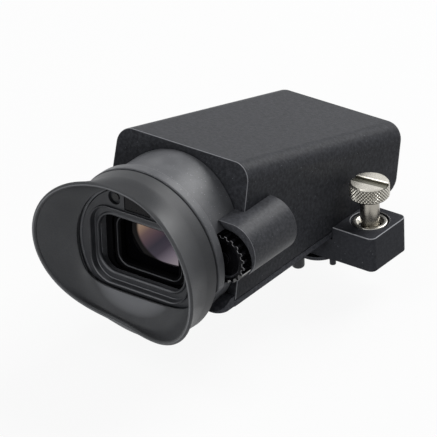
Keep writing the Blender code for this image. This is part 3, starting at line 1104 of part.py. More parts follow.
def make_thumbscrew():
    head_low = BLOCK_HEIGHT + THUMB_LIFT
    head_top = head_low + HEAD_H
    groove_low = CLIP_TOP - CLIP_THICK - FIT
    screw = turned("thumbscrew", [
        (0, head_top), (HEAD_R - HEAD_CHAMFER, head_top), (HEAD_R, head_top - HEAD_CHAMFER),
        (HEAD_R, head_low + HEAD_CHAMFER), (HEAD_R - HEAD_CHAMFER, head_low), (SHANK_R, head_low),
        (SHANK_R, CLIP_TOP + FIT), (CLIP_GROOVE_R, CLIP_TOP + FIT), (CLIP_GROOVE_R, groove_low),
        (THREAD_R, groove_low), (THREAD_R, TIP_GAP + TIP_CHAMFER), (THREAD_R - TIP_CHAMFER, TIP_GAP),
        (0, TIP_GAP)], 32, nickel, thumb_axis)
    slot = put("thumb_slot", block((-2 * HEAD_R, -SLOT_WIDTH / 2, head_top - SLOT_DEPTH),
                                   (2 * HEAD_R, SLOT_WIDTH / 2, head_top + OVERRUN)), carrier=thumb_axis)
    slot.rotation_euler.z = SLOT_TURN
    cut(screw, slot)
    turned("screw_clip", [(CLIP_R, CLIP_TOP), (CLIP_R, CLIP_TOP - CLIP_THICK),
                          (CLIP_GROOVE_R + FIT, CLIP_TOP - CLIP_THICK), (CLIP_GROOVE_R + FIT, CLIP_TOP)],
           32, steel, thumb_axis, ring=True)
    top = BLOCK_HEIGHT - EYELET_SINK
    turned("screw_eyelet", [(EYELET_BORE_R + EYELET_CONE, top), (EYELET_R, top), (EYELET_R, EYELET_LOW),
                            (EYELET_BORE_R, EYELET_LOW), (EYELET_BORE_R, top - EYELET_CONE)],
           32, nickel, thumb_axis, ring=True)


make_body_shell()
make_bottom_cover()
make_barrel()
make_dial_housing()
make_dial()
make_lens_cell()
make_eyepiece_plate()
make_eyecup()
make_display()
make_boards()
make_front_panel()
make_arm()
make_thumbscrew()
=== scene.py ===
import math

import bmesh
import bpy
from mathutils import Matrix, Vector


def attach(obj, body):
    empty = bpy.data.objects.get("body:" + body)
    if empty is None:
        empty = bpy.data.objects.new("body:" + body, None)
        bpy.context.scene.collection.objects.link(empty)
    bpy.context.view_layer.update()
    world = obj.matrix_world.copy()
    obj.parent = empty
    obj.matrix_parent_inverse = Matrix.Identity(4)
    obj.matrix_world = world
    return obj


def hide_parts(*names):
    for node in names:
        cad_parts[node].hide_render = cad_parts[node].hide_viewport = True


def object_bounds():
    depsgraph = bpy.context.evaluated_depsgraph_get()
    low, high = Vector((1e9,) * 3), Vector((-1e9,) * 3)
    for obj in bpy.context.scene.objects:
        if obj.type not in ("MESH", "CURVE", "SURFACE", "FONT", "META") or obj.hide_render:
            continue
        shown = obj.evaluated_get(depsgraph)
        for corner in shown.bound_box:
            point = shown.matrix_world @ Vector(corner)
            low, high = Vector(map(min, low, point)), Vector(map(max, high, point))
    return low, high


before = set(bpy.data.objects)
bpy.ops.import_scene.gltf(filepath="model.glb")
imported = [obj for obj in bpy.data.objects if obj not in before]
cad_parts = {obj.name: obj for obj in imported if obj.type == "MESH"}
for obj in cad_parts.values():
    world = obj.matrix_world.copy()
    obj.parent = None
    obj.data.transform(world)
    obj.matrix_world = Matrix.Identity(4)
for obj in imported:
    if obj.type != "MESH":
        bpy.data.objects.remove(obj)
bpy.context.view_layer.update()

mm = 0.001
tiny = mm / 1000  # points this close are one
gap = 0.3 * mm  # clearance between pieces
far = 100 * mm  # end of a cut that runs out of its piece
smoothTo = math.radians(32)  # faces that meet more flatly than this shade as one

# Axes that the pieces are built on: the eyepiece's and the dial's local Z points towards the eye
eyeX = -33.5 * mm
eyeAxis = Matrix.Translation((eyeX, 0, 29.7 * mm)) @ Matrix.Rotation(math.radians(90), 4, "X")
dialAxis = Matrix.Translation((-3.0 * mm, 0, 32.0 * mm)) @ Matrix.Rotation(math.radians(90), 4, "X")
screwAxis = Matrix.Translation((8.0 * mm, 1.0 * mm, 0))
boltAxis = Matrix.Translation((-12.5 * mm, -5.2 * mm, 0))


# Lengths in a settings dictionary are given in millimetres
def inMm(**lengths):
    return {name: tuple(part * mm for part in length) if isinstance(length, tuple) else length * mm
            for name, length in lengths.items()}


# Shaping helpers
def filleted(corners, steps=4, closed=False):
    points = []
    count = len(corners)
    for index, (x, y, radius) in enumerate(corners):
        here = Vector((x, y))
        if not radius or (not closed and index in (0, count - 1)):
            points.append(here)
            continue
        before = Vector(corners[index - 1][:2]) - here
        after = Vector(corners[(index + 1) % count][:2]) - here
        half = before.angle(after) / 2
        reach = radius / math.tan(half)
        centre = here + (before.normalized() + after.normalized()).normalized() * radius / math.sin(half)
        first = here + before.normalized() * reach - centre
        last = here + after.normalized() * reach - centre
        sweep = first.angle_signed(last)
        for step in range(steps + 1):
            points.append(centre + Matrix.Rotation(-sweep * step / steps, 2) @ first)
    return points


def turned(profile, steps, closed=False):
    shape = bmesh.new()
    corners = [shape.verts.new((x, 0, z)) for x, z in profile]
    edges = [shape.edges.new(pair) for pair in zip(corners, corners[1:])]
    if closed:
        edges.append(shape.edges.new((corners[-1], corners[0])))
    bmesh.ops.spin(shape, geom=corners + edges, cent=(0, 0, 0), axis=(0, 0, 1), steps=steps,
                   angle=2 * math.pi, use_merge=True)
    return shape


def rounded(shape, edges, radius, steps):
    bmesh.ops.bevel(shape, geom=edges, offset=radius, segments=steps, profile=0.5, affect="EDGES",
                    material=-1)


def extruded(outline, low, high, edge=0.0, steps=2):
    shape = bmesh.new()
    face = shape.faces.new([shape.verts.new((x, y, low)) for x, y in outline])
    grown = bmesh.ops.extrude_face_region(shape, geom=[face])["geom"]
    bmesh.ops.translate(shape, vec=(0, 0, high - low),
                        verts=[part for part in grown if isinstance(part, bmesh.types.BMVert)])
    if edge:
        rim = [e for e in shape.edges for level in (low, high)
               if all(abs(v.co.z - level) < tiny for v in e.verts)]
        rounded(shape, rim, edge, steps)
    return shape


def oblong(width, height, radius, steps=8):
    x, y = width / 2, height / 2
    corners = [(sx * x, sy * y, radius) for sx, sy in ((-1, -1), (1, -1), (1, 1), (-1, 1))]
    return filleted(corners, steps, closed=True)


def circle(radius, steps, centre):
    turns = [2 * math.pi * step / steps for step in range(steps)]
    return [(centre[0] + radius * math.cos(turn), centre[1] + radius * math.sin(turn)) for turn in turns]


def box(low, high):
    shape = bmesh.new()
    bmesh.ops.create_cube(shape, size=1.0)
    low, high = Vector(low), Vector(high)
    bmesh.ops.scale(shape, vec=high - low, verts=shape.verts)
    bmesh.ops.translate(shape, vec=(low + high) / 2, verts=shape.verts)
    return shape


def sharpEdges(shape, least=40):
    return [edge for edge in shape.edges if edge.calc_face_angle(0) > math.radians(least)]


def placed(name, data):
    made = bpy.data.objects.new(name, data)
    bpy.context.scene.collection.objects.link(made)
    return made


def built(name, shape, axis=None):
    if axis:
        shape.transform(axis)
    bmesh.ops.remove_doubles(shape, verts=shape.verts, dist=tiny)
    bmesh.ops.recalc_face_normals(shape, faces=shape.faces)
    mesh = bpy.data.meshes.new(name)
    shape.to_mesh(mesh)
    shape.free()
    return placed(name, mesh)


# Cutters: a round bore, an oblong window and a block
def bore(radius, low, high, axis=None, steps=32, centre=(0, 0)):
    return built("bore", extruded(circle(radius, steps, centre), low, high), axis)


def window(size, low, high, axis, steps=8):
    return built("window", extruded(oblong(*size, steps), low, high), axis)


def block(low, high, axis=None):
    return built("block", box(low, high), axis)


def carved(target, operation, *tools):
    for tool in tools:
        step = target.modifiers.new("carve", "BOOLEAN")
        step.object = tool
        step.operation = operation
        step.solver = "EXACT"
        graph = bpy.context.evaluated_depsgraph_get()
        mesh = bpy.data.meshes.new_from_object(target.evaluated_get(graph))
        target.modifiers.clear()
        shape = bmesh.new()
        shape.from_mesh(mesh)
        bmesh.ops.remove_doubles(shape, verts=shape.verts, dist=3 * tiny)
        shape.to_mesh(mesh)
        shape.free()
        target.data = mesh
        bpy.data.objects.remove(tool)
    return target


def dressed(piece, material, body, node):
    piece.data.materials.clear()
    piece.data.materials.append(material)
    for face in piece.data.polygons:
        face.use_smooth = True
    piece.data.set_sharp_from_angle(angle=smoothTo)
    weighted = piece.modifiers.new("evenNormals", "WEIGHTED_NORMAL")
    weighted.keep_sharp = True
    weighted.weight = 80
    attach(piece, body)
    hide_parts(node)


# Second material, on chosen faces inside an upright box round the eyepiece's axis
def retouched(piece, material, width, height, chosen):
    piece.data.materials.append(material)
    inverse = eyeAxis.inverted()
    for face in piece.data.polygons:
        centre = inverse @ face.center
        inside = abs(centre.x) < width / 2 and abs(centre.y) < height / 2
        if inside and chosen(centre.z, abs(face.normal.y)):
            face.material_index = 1


# Material helpers
def linear(hexColour):
    parts = [int(hexColour[start:start + 2], 16) / 255 for start in (1, 3, 5)]
    return tuple(p / 12.92 if p <= 0.04045 else ((p + 0.055) / 1.055) ** 2.4 for p in parts) + (1.0,)


def newMaterial(name):
    material = bpy.data.materials.new(name)
    material.use_nodes = True
    return material, material.node_tree


# An input takes a value, a socket, or a node's first output
def setInputs(tree, node, inputs):
    for key, value in inputs.items():
        if isinstance(value, bpy.types.Node):
            value = value.outputs[0]
        if isinstance(value, bpy.types.NodeSocket):
            tree.links.new(value, node.inputs[key])
        else:
            node.inputs[key].default_value = value


def addNode(tree, kind, inputs=None, **settings):
    node = tree.nodes.new(kind)
    for key, value in settings.items():
        setattr(node, key, value)
    setInputs(tree, node, inputs or {})
    return node


# Small glossy specks in a share of the cells: a cell's width in grains, and a speck's radius in cells
speck = {"cell": 1.6, "radius": 0.36, "roughness": 0.24}


def flecked(tree, place, size, share, shade, colour, rough):
    cells = addNode(tree, "ShaderNodeTexVoronoi", {"Vector": place, "Scale": 1 / size})
    drawn = addNode(tree, "ShaderNodeSeparateColor", {"Color": cells.outputs["Color"]})
    chosen = addNode(tree, "ShaderNodeMath", {0: drawn, 1: 1 - share}, operation="GREATER_THAN")
    middle = addNode(tree, "ShaderNodeMath", {0: cells, 1: speck["radius"]}, operation="LESS_THAN")
    fleck = addNode(tree, "ShaderNodeMath", {0: chosen, 1: middle}, operation="MULTIPLY")
    mixed = addNode(tree, "ShaderNodeMix", {0: fleck, 6: colour, 7: linear(shade)}, data_type="RGBA")
    return mixed.outputs[2], addNode(tree, "ShaderNodeMix", {0: fleck, 2: rough, 3: speck["roughness"]})


# Painted highlight: paler where it faces along an axis, or on a ridge, where it faces partly along it
def paintHighlight(tree, colour, highlight):
    normal = addNode(tree, "ShaderNodeNewGeometry").outputs["Normal"]
    facing = addNode(tree, "ShaderNodeVectorMath", {0: normal, 1: highlight["axis"]},
                     operation="DOT_PRODUCT").outputs["Value"]
    if highlight["ridge"]:
        rest = addNode(tree, "ShaderNodeMath", {0: 1.0, 1: facing}, operation="SUBTRACT")
        facing = addNode(tree, "ShaderNodeMath", {0: facing, 1: rest}, operation="MINIMUM")
    edges = addNode(tree, "ShaderNodeMapRange", {"Value": facing, "From Min": highlight["low"],
                                                 "From Max": highlight["high"]})
    return addNode(tree, "ShaderNodeMix", {0: edges, 6: colour, 7: linear(highlight["colour"])},
                   data_type="RGBA").outputs[2]


# Painted shade: dark in the knurl's grooves, and duller on the slot's floor and below the head
def shadeGrooves(tree, place, colour, grooveShade):
    split = addNode(tree, "ShaderNodeSeparateXYZ", {"Vector": place})
    height = split.outputs["Z"]
    level = addNode(tree, "ShaderNodeCombineXYZ", {"X": split.outputs["X"], "Y": split.outputs["Y"]})
    reach = addNode(tree, "ShaderNodeVectorMath", {0: level, 1: screwAxis.translation},
                    operation="DISTANCE").outputs["Value"]
    crests = addNode(tree, "ShaderNodeMapRange", {"Value": reach, "From Min": grooveShade["root"],
                                                  "From Max": grooveShade["crest"]})
    inside = addNode(tree, "ShaderNodeMath", {0: reach, 1: grooveShade["inner"]}, operation="LESS_THAN")
    above = addNode(tree, "ShaderNodeMath", {0: height, 1: grooveShade["top"]}, operation="GREATER_THAN")
    for plain in (inside, above):
        crests = addNode(tree, "ShaderNodeMath", {0: crests, 1: plain}, operation="MAXIMUM")
    floor = addNode(tree, "ShaderNodeMath", {0: height, 1: grooveShade["slotFloor"], 2: grooveShade["slotBand"]},
                    operation="COMPARE")
    floor = addNode(tree, "ShaderNodeMath", {0: floor, 1: inside}, operation="MULTIPLY")
    under = addNode(tree, "ShaderNodeMath", {0: height, 1: grooveShade["under"]}, operation="LESS_THAN")
    colour = addNode(tree, "ShaderNodeMix", {0: crests, 6: linear(grooveShade["dark"]), 7: colour},
                     data_type="RGBA").outputs[2]
    for share, shade in ((floor, grooveShade["slotShade"]), (under, grooveShade["underShade"])):
        colour = addNode(tree, "ShaderNodeMix", {0: share, 6: colour, 7: linear(shade)},
                         data_type="RGBA").outputs[2]
    return colour


# Grain, depth and blotch are in millimetres
def surface(name, dark, light, roughness, grain, depth, metallic=0.0, spread=0.08, blotch=6.0, specular=0.5,
            flecks=0.0, fleckColour="#6c6e73", highlight=None, grooveShade=None):
    material, tree = newMaterial(name)
    place = addNode(tree, "ShaderNodeTexCoord").outputs["Object"]
    fine = addNode(tree, "ShaderNodeTexNoise", {"Vector": place, "Scale": 1 / (grain * mm), "Detail": 3.0,
                                                "Roughness": 0.6})
    broad = addNode(tree, "ShaderNodeTexNoise", {"Vector": place, "Scale": 1 / (blotch * mm), "Detail": 4.0})
    mixed = addNode(tree, "ShaderNodeMath", {0: fine, 1: broad}, operation="MULTIPLY")
    ramp = addNode(tree, "ShaderNodeValToRGB", {"Fac": mixed})
    for stop, position, shade in zip(ramp.color_ramp.elements, (0.15, 0.4), (dark, light)):
        stop.position = position
        stop.color = linear(shade)
    colour = ramp.outputs["Color"]
    rough = addNode(tree, "ShaderNodeMapRange", {"Value": fine, "From Min": 0.3, "From Max": 0.7,
                                                 "To Min": roughness - spread, "To Max": roughness + spread})
    if flecks:
        size = speck["cell"] * grain * mm
        colour, rough = flecked(tree, place, size, flecks, fleckColour, colour, rough)
    if highlight:
        colour = paintHighlight(tree, colour, highlight)
    if grooveShade:
        colour = shadeGrooves(tree, place, colour, grooveShade)
    bump = addNode(tree, "ShaderNodeBump", {"Height": fine, "Distance": depth * mm, "Strength": 1.0})
    setInputs(tree, tree.nodes["Principled BSDF"], {
        "Base Color": colour, "Roughness": rough, "Normal": bump, "Metallic": metallic,
        "Specular IOR Level": specular})
    return material


# Cast metal sprayed with charcoal paint: a fine, dull grain, with a painted highlight along the rear edges
rearHighlight = {"axis": (0, -0.966, 0.259), "ridge": True, "low": 0.27, "high": 0.36, "colour": "#8a8b8f"}
castPaint = surface("castMetalFineGrainPaint", "#242528", "#3b3c40", 0.44, 0.24, 0.02, spread=0.1, blotch=1.3,
                    specular=0.05, flecks=0.006, highlight=rearHighlight)
# That paint on the cover, made paler as painted light on its shaded chin, and without the painted edge
# highlight
coverLitPaint = surface("castMetalCoverPaintLit", "#34353a", "#505156", 0.44, 0.24, 0.02, spread=0.1, blotch=1.3,
                     specular=0.05, flecks=0.006)
# That paint over the dial guard's smoother casting: a flatter grain with a little more sheen, made paler as a
# painted highlight on the guard's top, and with the painted highlight along the rear edges
guardLitPaint = surface("castMetalGuardPaintLit", "#313235", "#48494d", 0.4, 0.24, 0.012, spread=0.1, blotch=1.3,
                     specular=0.09, flecks=0.01, highlight=rearHighlight)
# That paint laid thicker on the arm: a broader, flatter grain, with a painted highlight along its upper edges
armHighlight = {"axis": (0, 0, 1), "ridge": True, "low": 0.05, "high": 0.25, "colour": "#a2a3a7"}
armPaint = surface("armSatinPaint", "#2f3034", "#3b3c40", 0.46, 0.3, 0.012, spread=0.1, blotch=1.3,
                   specular=0.03, flecks=0.01, highlight=armHighlight)
# Plastic, moulded and vapour-blasted: an even grey skin with pale flecks
barrelSkin = surface("blastedMoulding", "#505154", "#606164", 0.42, 0.26, 0.014, specular=0.2, flecks=0.03,
                     fleckColour="#8b8d91")
# Moulded rubber: dull and smooth, with a painted highlight along the rim
rimHighlight = {"axis": (0, -1, 0), "ridge": False, "low": 0.93, "high": 0.99, "colour": "#66676a"}
cupRubber = surface("dullRubberSkin", "#38393b", "#424345", 0.48, 0.5, 0.006, blotch=14.0, specular=0.2,
                    highlight=rimHighlight)
# Plastic with a satin moulded face: soft glints, and a painted highlight where it faces up towards the eye
plateHighlight = {"axis": (0.36, -0.66, 0.66), "ridge": False, "low": 0.74, "high": 0.95, "colour": "#6c6d70"}
plateSkin = surface("satinMoulding", "#2c2d30", "#36373a", 0.36, 0.3, 0.005, specular=0.25, highlight=plateHighlight)
# Smoked acrylic over the eye sensor: nearly black and half matte
smokedWindow = surface("smokedWindow", "#09090b", "#0e0d10", 0.3, 0.5, 0.004, specular=0.12)
# Flocked light traps: black without a glint
flockBlack = surface("lightTrapBlack", "#020203", "#050506", 0.8, 0.3, 0.01, specular=0.04)
# Plastic, moulded and polished: sharp glints, and a painted highlight on the ribs' edges
ribHighlight = {"axis": (0, -1, 0), "ridge": True, "low": 0.2, "high": 0.35, "colour": "#66676c"}
dialGloss = surface("polishedBlackMoulding", "#0a0a0c", "#141417", 0.14, 0.6, 0.004, specular=0.8,
                    highlight=ribHighlight)
# Turned brass with satin nickel plate: a warm grey metal with soft glints
nickelPlate = surface("satinNickelPlate", "#94928c", "#a8a6a0", 0.3, 0.35, 0.003, metallic=1.0)
# Steel, black oxide and oiled: nearly black, with a low gloss
oiledSteel = surface("oiledBlackSteel", "#050506", "#0b0b0d", 0.26, 0.3, 0.004, specular=0.3)
# Steel, blackened and left dry: a dark grey metal
blackSteel = surface("blackenedSteel", "#26272a", "#3a3b3f", 0.38, 0.3, 0.004, metallic=0.9)
# Bare turned steel: a plain grey metal
plainSteel = surface("plainTurnedSteel", "#83848a", "#a5a6ab", 0.34, 0.3, 0.003, metallic=1.0)
# Solder mask over glass-fibre board: a green film with some sheen
solderMask = surface("solderMaskGreen", "#12502a", "#1c6a3a", 0.4, 0.5, 0.006)
# Sintered bronze: a warm metal with fine pores
sinteredBronze = surface("sinteredBronze", "#8a6a36", "#b08a4c", 0.4, 0.25, 0.006, metallic=1.0)
# Rolled aluminium sheet: a pale, smooth metal
rolledSheet = surface("rolledAluminium", "#9a9b9f", "#b9babd", 0.36, 0.5, 0.004, metallic=1.0)
print("materials ready")


# Housing: the same tilted, drafted box as the CAD, with its edges rounded finely
housing = {**inMm(rear=-61.8, top=63.8, floor=10.2, width=62, length=106.6, depth=75, wall=2, longEdge=6.8,
                  frontEdge=3, rearEdge=0.7, toe=5, seam=12.8, seamEdge=0.2, weld=0.03,
                  opening=(38.2, 29.6, 7), openingLow=60, pocketLow=66.7, driveBore=5.6, driveLow=58),
           "pitch": math.radians(15.0), "draft": 0.03}
housingFrame = (Matrix.Translation((eyeX, housing["rear"], housing["top"]))
                @ Matrix.Rotation(-housing["pitch"], 4, "X"))


def levelCut(shape, height, above):
    bmesh.ops.bisect_plane(shape, geom=shape.verts[:] + shape.edges[:] + shape.faces[:], dist=tiny,
                           plane_co=(0, 0, height), plane_no=(0, 0, 1), clear_inner=above,
                           clear_outer=not above)
    bmesh.ops.holes_fill(shape, edges=[edge for edge in shape.edges if edge.is_boundary], sides=0)


def housingForm(inset=0.0, fine=True):
    half, length = housing["width"] / 2, housing["length"]
    alongSteps, toeSteps, aheadSteps, behindSteps = (14, 8, 6, 4) if fine else (5, 3, 2, 2)
    shape = box((-half, inset, -housing["depth"]), (half, length - inset, -inset))
    for vert in shape.verts:
        vert.co.x = math.copysign(half - inset - housing["draft"] * vert.co.z, vert.co.x)
    shape.transform(housingFrame)
    levelCut(shape, housing["floor"], above=True)
    shape.transform(housingFrame.inverted())
    along = [edge for edge in shape.edges if all(abs(v.co.z + inset) < tiny for v in edge.verts)
             and abs(edge.verts[0].co.y - edge.verts[1].co.y) > length / 2]
    rounded(shape, along, housing["longEdge"] - inset, alongSteps)
    front = length - inset
    toe = [edge for edge in sharpEdges(shape) if all(abs(v.co.y - front) < tiny for v in edge.verts)
           and edge.calc_length() > half and edge.verts[0].co.z < -housing["longEdge"]]
    rounded(shape, toe, housing["toe"] - inset, toeSteps)
    ahead = [edge for edge in sharpEdges(shape) if min(v.co.y for v in edge.verts) > length / 2]
    rounded(shape, ahead, housing["frontEdge"] - inset, aheadSteps)
    if housing["rearEdge"] > inset:
        behind = [edge for edge in sharpEdges(shape) if all(abs(v.co.y - inset) < tiny for v in edge.verts)
                  and max(v.co.z for v in edge.verts) > -housing["depth"] / 2]
        rounded(shape, behind, housing["rearEdge"] - inset, behindSteps)
    shape.transform(housingFrame)
    bmesh.ops.remove_doubles(shape, verts=shape.verts, dist=housing["weld"])
    return shape


def rearY(height, setback):
    slope = math.tan(housing["pitch"])
    return housing["rear"] - (housing["top"] - height) * slope + setback / math.cos(housing["pitch"])


def roundSeam(shape, height):
    bmesh.ops.remove_doubles(shape, verts=shape.verts, dist=housing["weld"])
    rim = [edge for edge in shape.edges if all(abs(v.co.z - height) < 10 * tiny for v in edge.verts)]
    rounded(shape, rim, housing["seamEdge"], 2)


guard = {**inMm(x=2.3, rise=3.4, radius=11.2, end=77.2, length=26.9, rim=0.3, lip=0.4, mouth=0.9, recess=11.2,
                recessFloor=72.7, floorThick=4, floorRadius=10.5, pocket=10.8, drive=6, driveLow=57.7,
                bushBore=3.7, wall=1.4), "overrun": 1.5}
socket = inMm(plateWidth=34, plateHeight=16.4, plateThick=1, drop=13.8, ledge=6.1, ledgeLow=1.2, corner=2,
              x=-7, radius=5.2, flange=6.4, flangeThick=1, bore=4.2, length=10, floor=2, through=6,
              screwX=15.5, screwBore=1.1, edge=0.2, boreEdge=0.25, flangeEdge=0.3)
socketAxis = (housingFrame @ Matrix.Translation((0, housing["length"], -socket["drop"]))
              @ Matrix.Rotation(math.radians(-90), 4, "X"))


def makeShell():
    form = housingForm()
    levelCut(form, housing["seam"], above=True)
    roundSeam(form, housing["seam"])
    wide, high, corner = socket["plateWidth"], socket["plateHeight"], socket["corner"]
    seat = (wide + 2 * gap, high + 2 * gap, corner + gap)
    ledge = (wide - 2 * socket["ledge"], high - 2 * socket["ledgeLow"], corner)
    shell = carved(built("housingShell", form), "DIFFERENCE",
                   built("hollow", housingForm(housing["wall"], fine=False)),
                   window(housing["opening"], housing["openingLow"], far, eyeAxis),
                   bore(guard["pocket"], housing["pocketLow"], far, dialAxis, 64),
                   bore(housing["driveBore"], housing["driveLow"], far, dialAxis),
                   window(seat, -socket["plateThick"] - gap, socket["through"], socketAxis),
                   window(ledge, -socket["through"], socket["through"], socketAxis))
    dressed(shell, castPaint, "housing", "body_shell")


cover = {**inMm(reach=84.2, nose=0.6, rise=4.3, run=6, corner=4.5, draftDepth=55.5, screwsX=(-61.1, -5.9),
                screwsY=(-66, 22), headBore=2.2, headTop=11.5, bore=1.3, boltBore=2.8),
         "top": housing["seam"] - gap}
cover["half"] = housing["width"] / 2 + housing["draft"] * cover["draftDepth"] - gap


def chinForm(grow=0.0):
    low, high, top = housing["floor"] - grow, housing["floor"] + cover["rise"] + grow, cover["top"]
    reach, half, nose = cover["reach"] + grow, cover["half"] + grow, cover["nose"] + grow
    outline = [(-reach, low), (-reach, housing["floor"] + nose), (-reach + cover["run"], high),
               (rearY(high, -gap), high), (rearY(top, -gap), top), (rearY(top, mm), top),
               (rearY(top, mm), low)]
    shape = extruded([(z, y) for y, z in outline], -half, half)
    shape.transform(Matrix(((0, 0, 1, eyeX), (0, 1, 0, 0), (1, 0, 0, 0), (0, 0, 0, 1))))
    return shape


def makeCover():
    form = housingForm()
    levelCut(form, cover["top"], above=False)
    roundSeam(form, cover["top"])
    plan = box((eyeX - cover["half"], -cover["reach"], 0), (eyeX + cover["half"], 0, far))
    corners = [edge for edge in plan.edges if all(v.co.y < -mm for v in edge.verts)
               and abs(edge.verts[0].co.z - edge.verts[1].co.z) > mm]
    rounded(plan, corners, cover["corner"], 10)
    nose = carved(built("chinRamp", chinForm()), "INTERSECT", built("plan", plan))
    sheet = carved(built("underCover", form), "UNION", nose)
    holes = []
    for centre in [(x, y) for x in cover["screwsX"] for y in cover["screwsY"]]:
        holes.append(bore(cover["headBore"], 0, cover["headTop"], centre=centre))
        holes.append(bore(cover["bore"], 0, far, steps=24, centre=centre))
    carved(sheet, "DIFFERENCE", *holes, bore(cover["boltBore"], 0, far, boltAxis))
    dressed(sheet, coverLitPaint, "housing", "bottom_cover")


barrel = {**inMm(radius=31.7, start=60, band=34.2, bandStart=83, bandEnd=87.2, neck=29.4, neckEnd=91,
                 neckBore=27.9, neckFloor=89.2, flange=85.5, neckEdge=0.2, bandEdge=0.5, stepEdge=0.6,
                 stepRoot=0.35, flat=30.9, flatLow=82.9, flatHigh=87.3, bore=(33.6, 25, 5.3),
                 well=(39.4, 25.6, 5.6), wellFloor=86.2, underEnd=82.95, dialEnd=82.6, notch=5.5,
                 notchLow=18.2, notchHigh=23.4, notchFloor=88.1), "flatTurn": math.radians(36.6)}


def makeBarrel():
    inner, edge = barrel["radius"] - housing["wall"], barrel["neckEdge"]
    profile = filleted([
        (0, barrel["neckFloor"], 0), (barrel["neckBore"], barrel["neckFloor"], 0),
        (barrel["neckBore"], barrel["neckEnd"], edge), (barrel["neck"], barrel["neckEnd"], edge),
        (barrel["neck"], barrel["bandEnd"], 0), (barrel["band"], barrel["bandEnd"], barrel["bandEdge"]),
        (barrel["band"], barrel["bandStart"], barrel["stepEdge"]),
        (barrel["radius"], barrel["bandStart"], barrel["stepRoot"]), (barrel["radius"], barrel["start"], 0),
        (inner, barrel["start"], 0), (inner, barrel["flange"], 0), (0, barrel["flange"], 0)])
    tube = built("eyepieceTube", turned(profile, 160), eyeAxis)
    tools = []
    for turn in (-barrel["flatTurn"], math.pi + barrel["flatTurn"]):
        flat = box((barrel["flat"], -far, barrel["flatLow"]), (far, far, barrel["flatHigh"]))
        flat.transform(Matrix.Rotation(turn, 4, "Z"))
        tools.append(built("flat", flat, eyeAxis))
    tools.append(block((-far, -barrel["underEnd"], -far), (far, 0, housing["floor"])))
    tools.append(built("chin", chinForm(gap)))
    tools.append(built("body", housingForm(-gap)))
    tools.append(window(barrel["bore"], 0, far, eyeAxis))
    tools.append(window(barrel["well"], barrel["wellFloor"], far, eyeAxis))
    tools.append(bore(guard["pocket"], 0, barrel["dialEnd"], dialAxis, 96))
    tools.append(block((-barrel["notch"], barrel["notchLow"], barrel["notchFloor"]),
                       (barrel["notch"], barrel["notchHigh"], far), eyeAxis))
    carved(tube, "DIFFERENCE", *tools)
    dressed(tube, barrelSkin, "housing", "eyepiece_barrel")
    retouched(tube, flockBlack, *barrel["well"][:2], lambda level, facing: level < barrel["wellFloor"] + gap)


def guardForm(low, high, edge=0.0):
    x, y, radius = guard["x"], guard["rise"], guard["radius"]
    left, right, below, above = x - 2 * radius, x + radius, y - radius, y + radius
    outline = filleted([(left, below, 0), (right, below, radius - gap), (right, above, radius - gap),
                        (left, above, 0)], 28, closed=True)
    return extruded(outline, low, high, edge, 3)


# The recess widens towards the guard's outline, and the cone that cuts it runs on past the mouth
def guardMouth():
    run = guard["overrun"]
    outer = guard["recess"] + (guard["radius"] - guard["lip"] - guard["recess"]) * run
    depth = guard["mouth"] * run
    shape = bmesh.new()
    middle = Matrix.Translation((0, 0, guard["end"] - guard["mouth"] + depth / 2))
    bmesh.ops.create_cone(shape, cap_ends=True, segments=128, radius1=guard["recess"], radius2=outer,
                          depth=depth, matrix=middle)
    ends = [vert for vert in shape.verts if vert.co.z > guard["end"]]
    bmesh.ops.translate(shape, vec=(guard["x"] * run, guard["rise"] * run, 0), verts=ends)
    return shape


def makeGuard():
    end, floorHigh = guard["end"], guard["recessFloor"]
    floorLow = floorHigh - guard["floorThick"]
    shade = built("dialGuard", guardForm(end - guard["length"], end, guard["rim"]), dialAxis)
    carved(shade, "DIFFERENCE", built("body", housingForm(-gap)),
           bore(barrel["radius"] + gap, 0, far, eyeAxis, 160),
           bore(guard["recess"], floorHigh, far, dialAxis, 128), built("mouth", guardMouth(), dialAxis),
           bore(guard["drive"], guard["driveLow"], floorLow + mm, dialAxis, 48))
    disc = bore(guard["floorRadius"], floorLow, floorHigh, dialAxis, 96)
    limit = built("limit", guardForm(floorLow - mm, floorHigh + mm), dialAxis)
    carved(limit, "UNION", block((-far, -far, floorLow - mm / 2), (guard["wall"], far, floorHigh + mm / 2),
                                 dialAxis))
    carved(disc, "INTERSECT", limit)
    carved(shade, "UNION", disc)
    carved(shade, "DIFFERENCE", bore(guard["bushBore"], floorLow - mm, far, dialAxis, 48))
    dressed(shade, guardLitPaint, "housing", "dial_housing")


makeShell()
makeCover()
makeBarrel()
makeGuard()
print("housing, cover, barrel and dial guard built")


dial = {**inMm(radius=10, root=8.9, low=73.9, high=79.6, edge=0.28, dish=7.4, dishDepth=0.9, dishWall=0.4,
               mouth=0.5, mouthEdge=0.3, taper=0.2, lift=0.1, bore=2.3), "ribs": 20, "flank": 1.1}


def makeDial():
    outline = []
    samples = 12
    for index in range(dial["ribs"] * samples):
        phase = (index % samples) / samples
        crest = min(1.0, max(0.0, 0.5 - dial["flank"] * math.cos(2 * math.pi * phase)))
        radius = dial["root"] + (dial["radius"] - dial["root"]) * crest
        turn = 2 * math.pi * index / (dial["ribs"] * samples)
        outline.append((radius * math.cos(turn), radius * math.sin(turn)))
    wheel = built("dialWheel", extruded(outline, dial["low"], dial["high"], dial["edge"], 3), dialAxis)
    wide, high, low = dial["dish"] + dial["mouth"], dial["high"], dial["high"] - dial["dishDepth"]
    dish = turned(filleted([(0, far, 0), (wide, far, 0), (wide, high + dial["lift"], 0),
                            (dial["dish"], high - dial["dishWall"], dial["mouthEdge"]),
                            (dial["dish"] - dial["taper"], low, 0), (0, low, 0)]), 64)
    carved(wheel, "DIFFERENCE", built("dish", dish, dialAxis), bore(dial["bore"], 0, far, dialAxis))
    dressed(wheel, dialGloss, "dial", "diopter_dial")


makeDial()

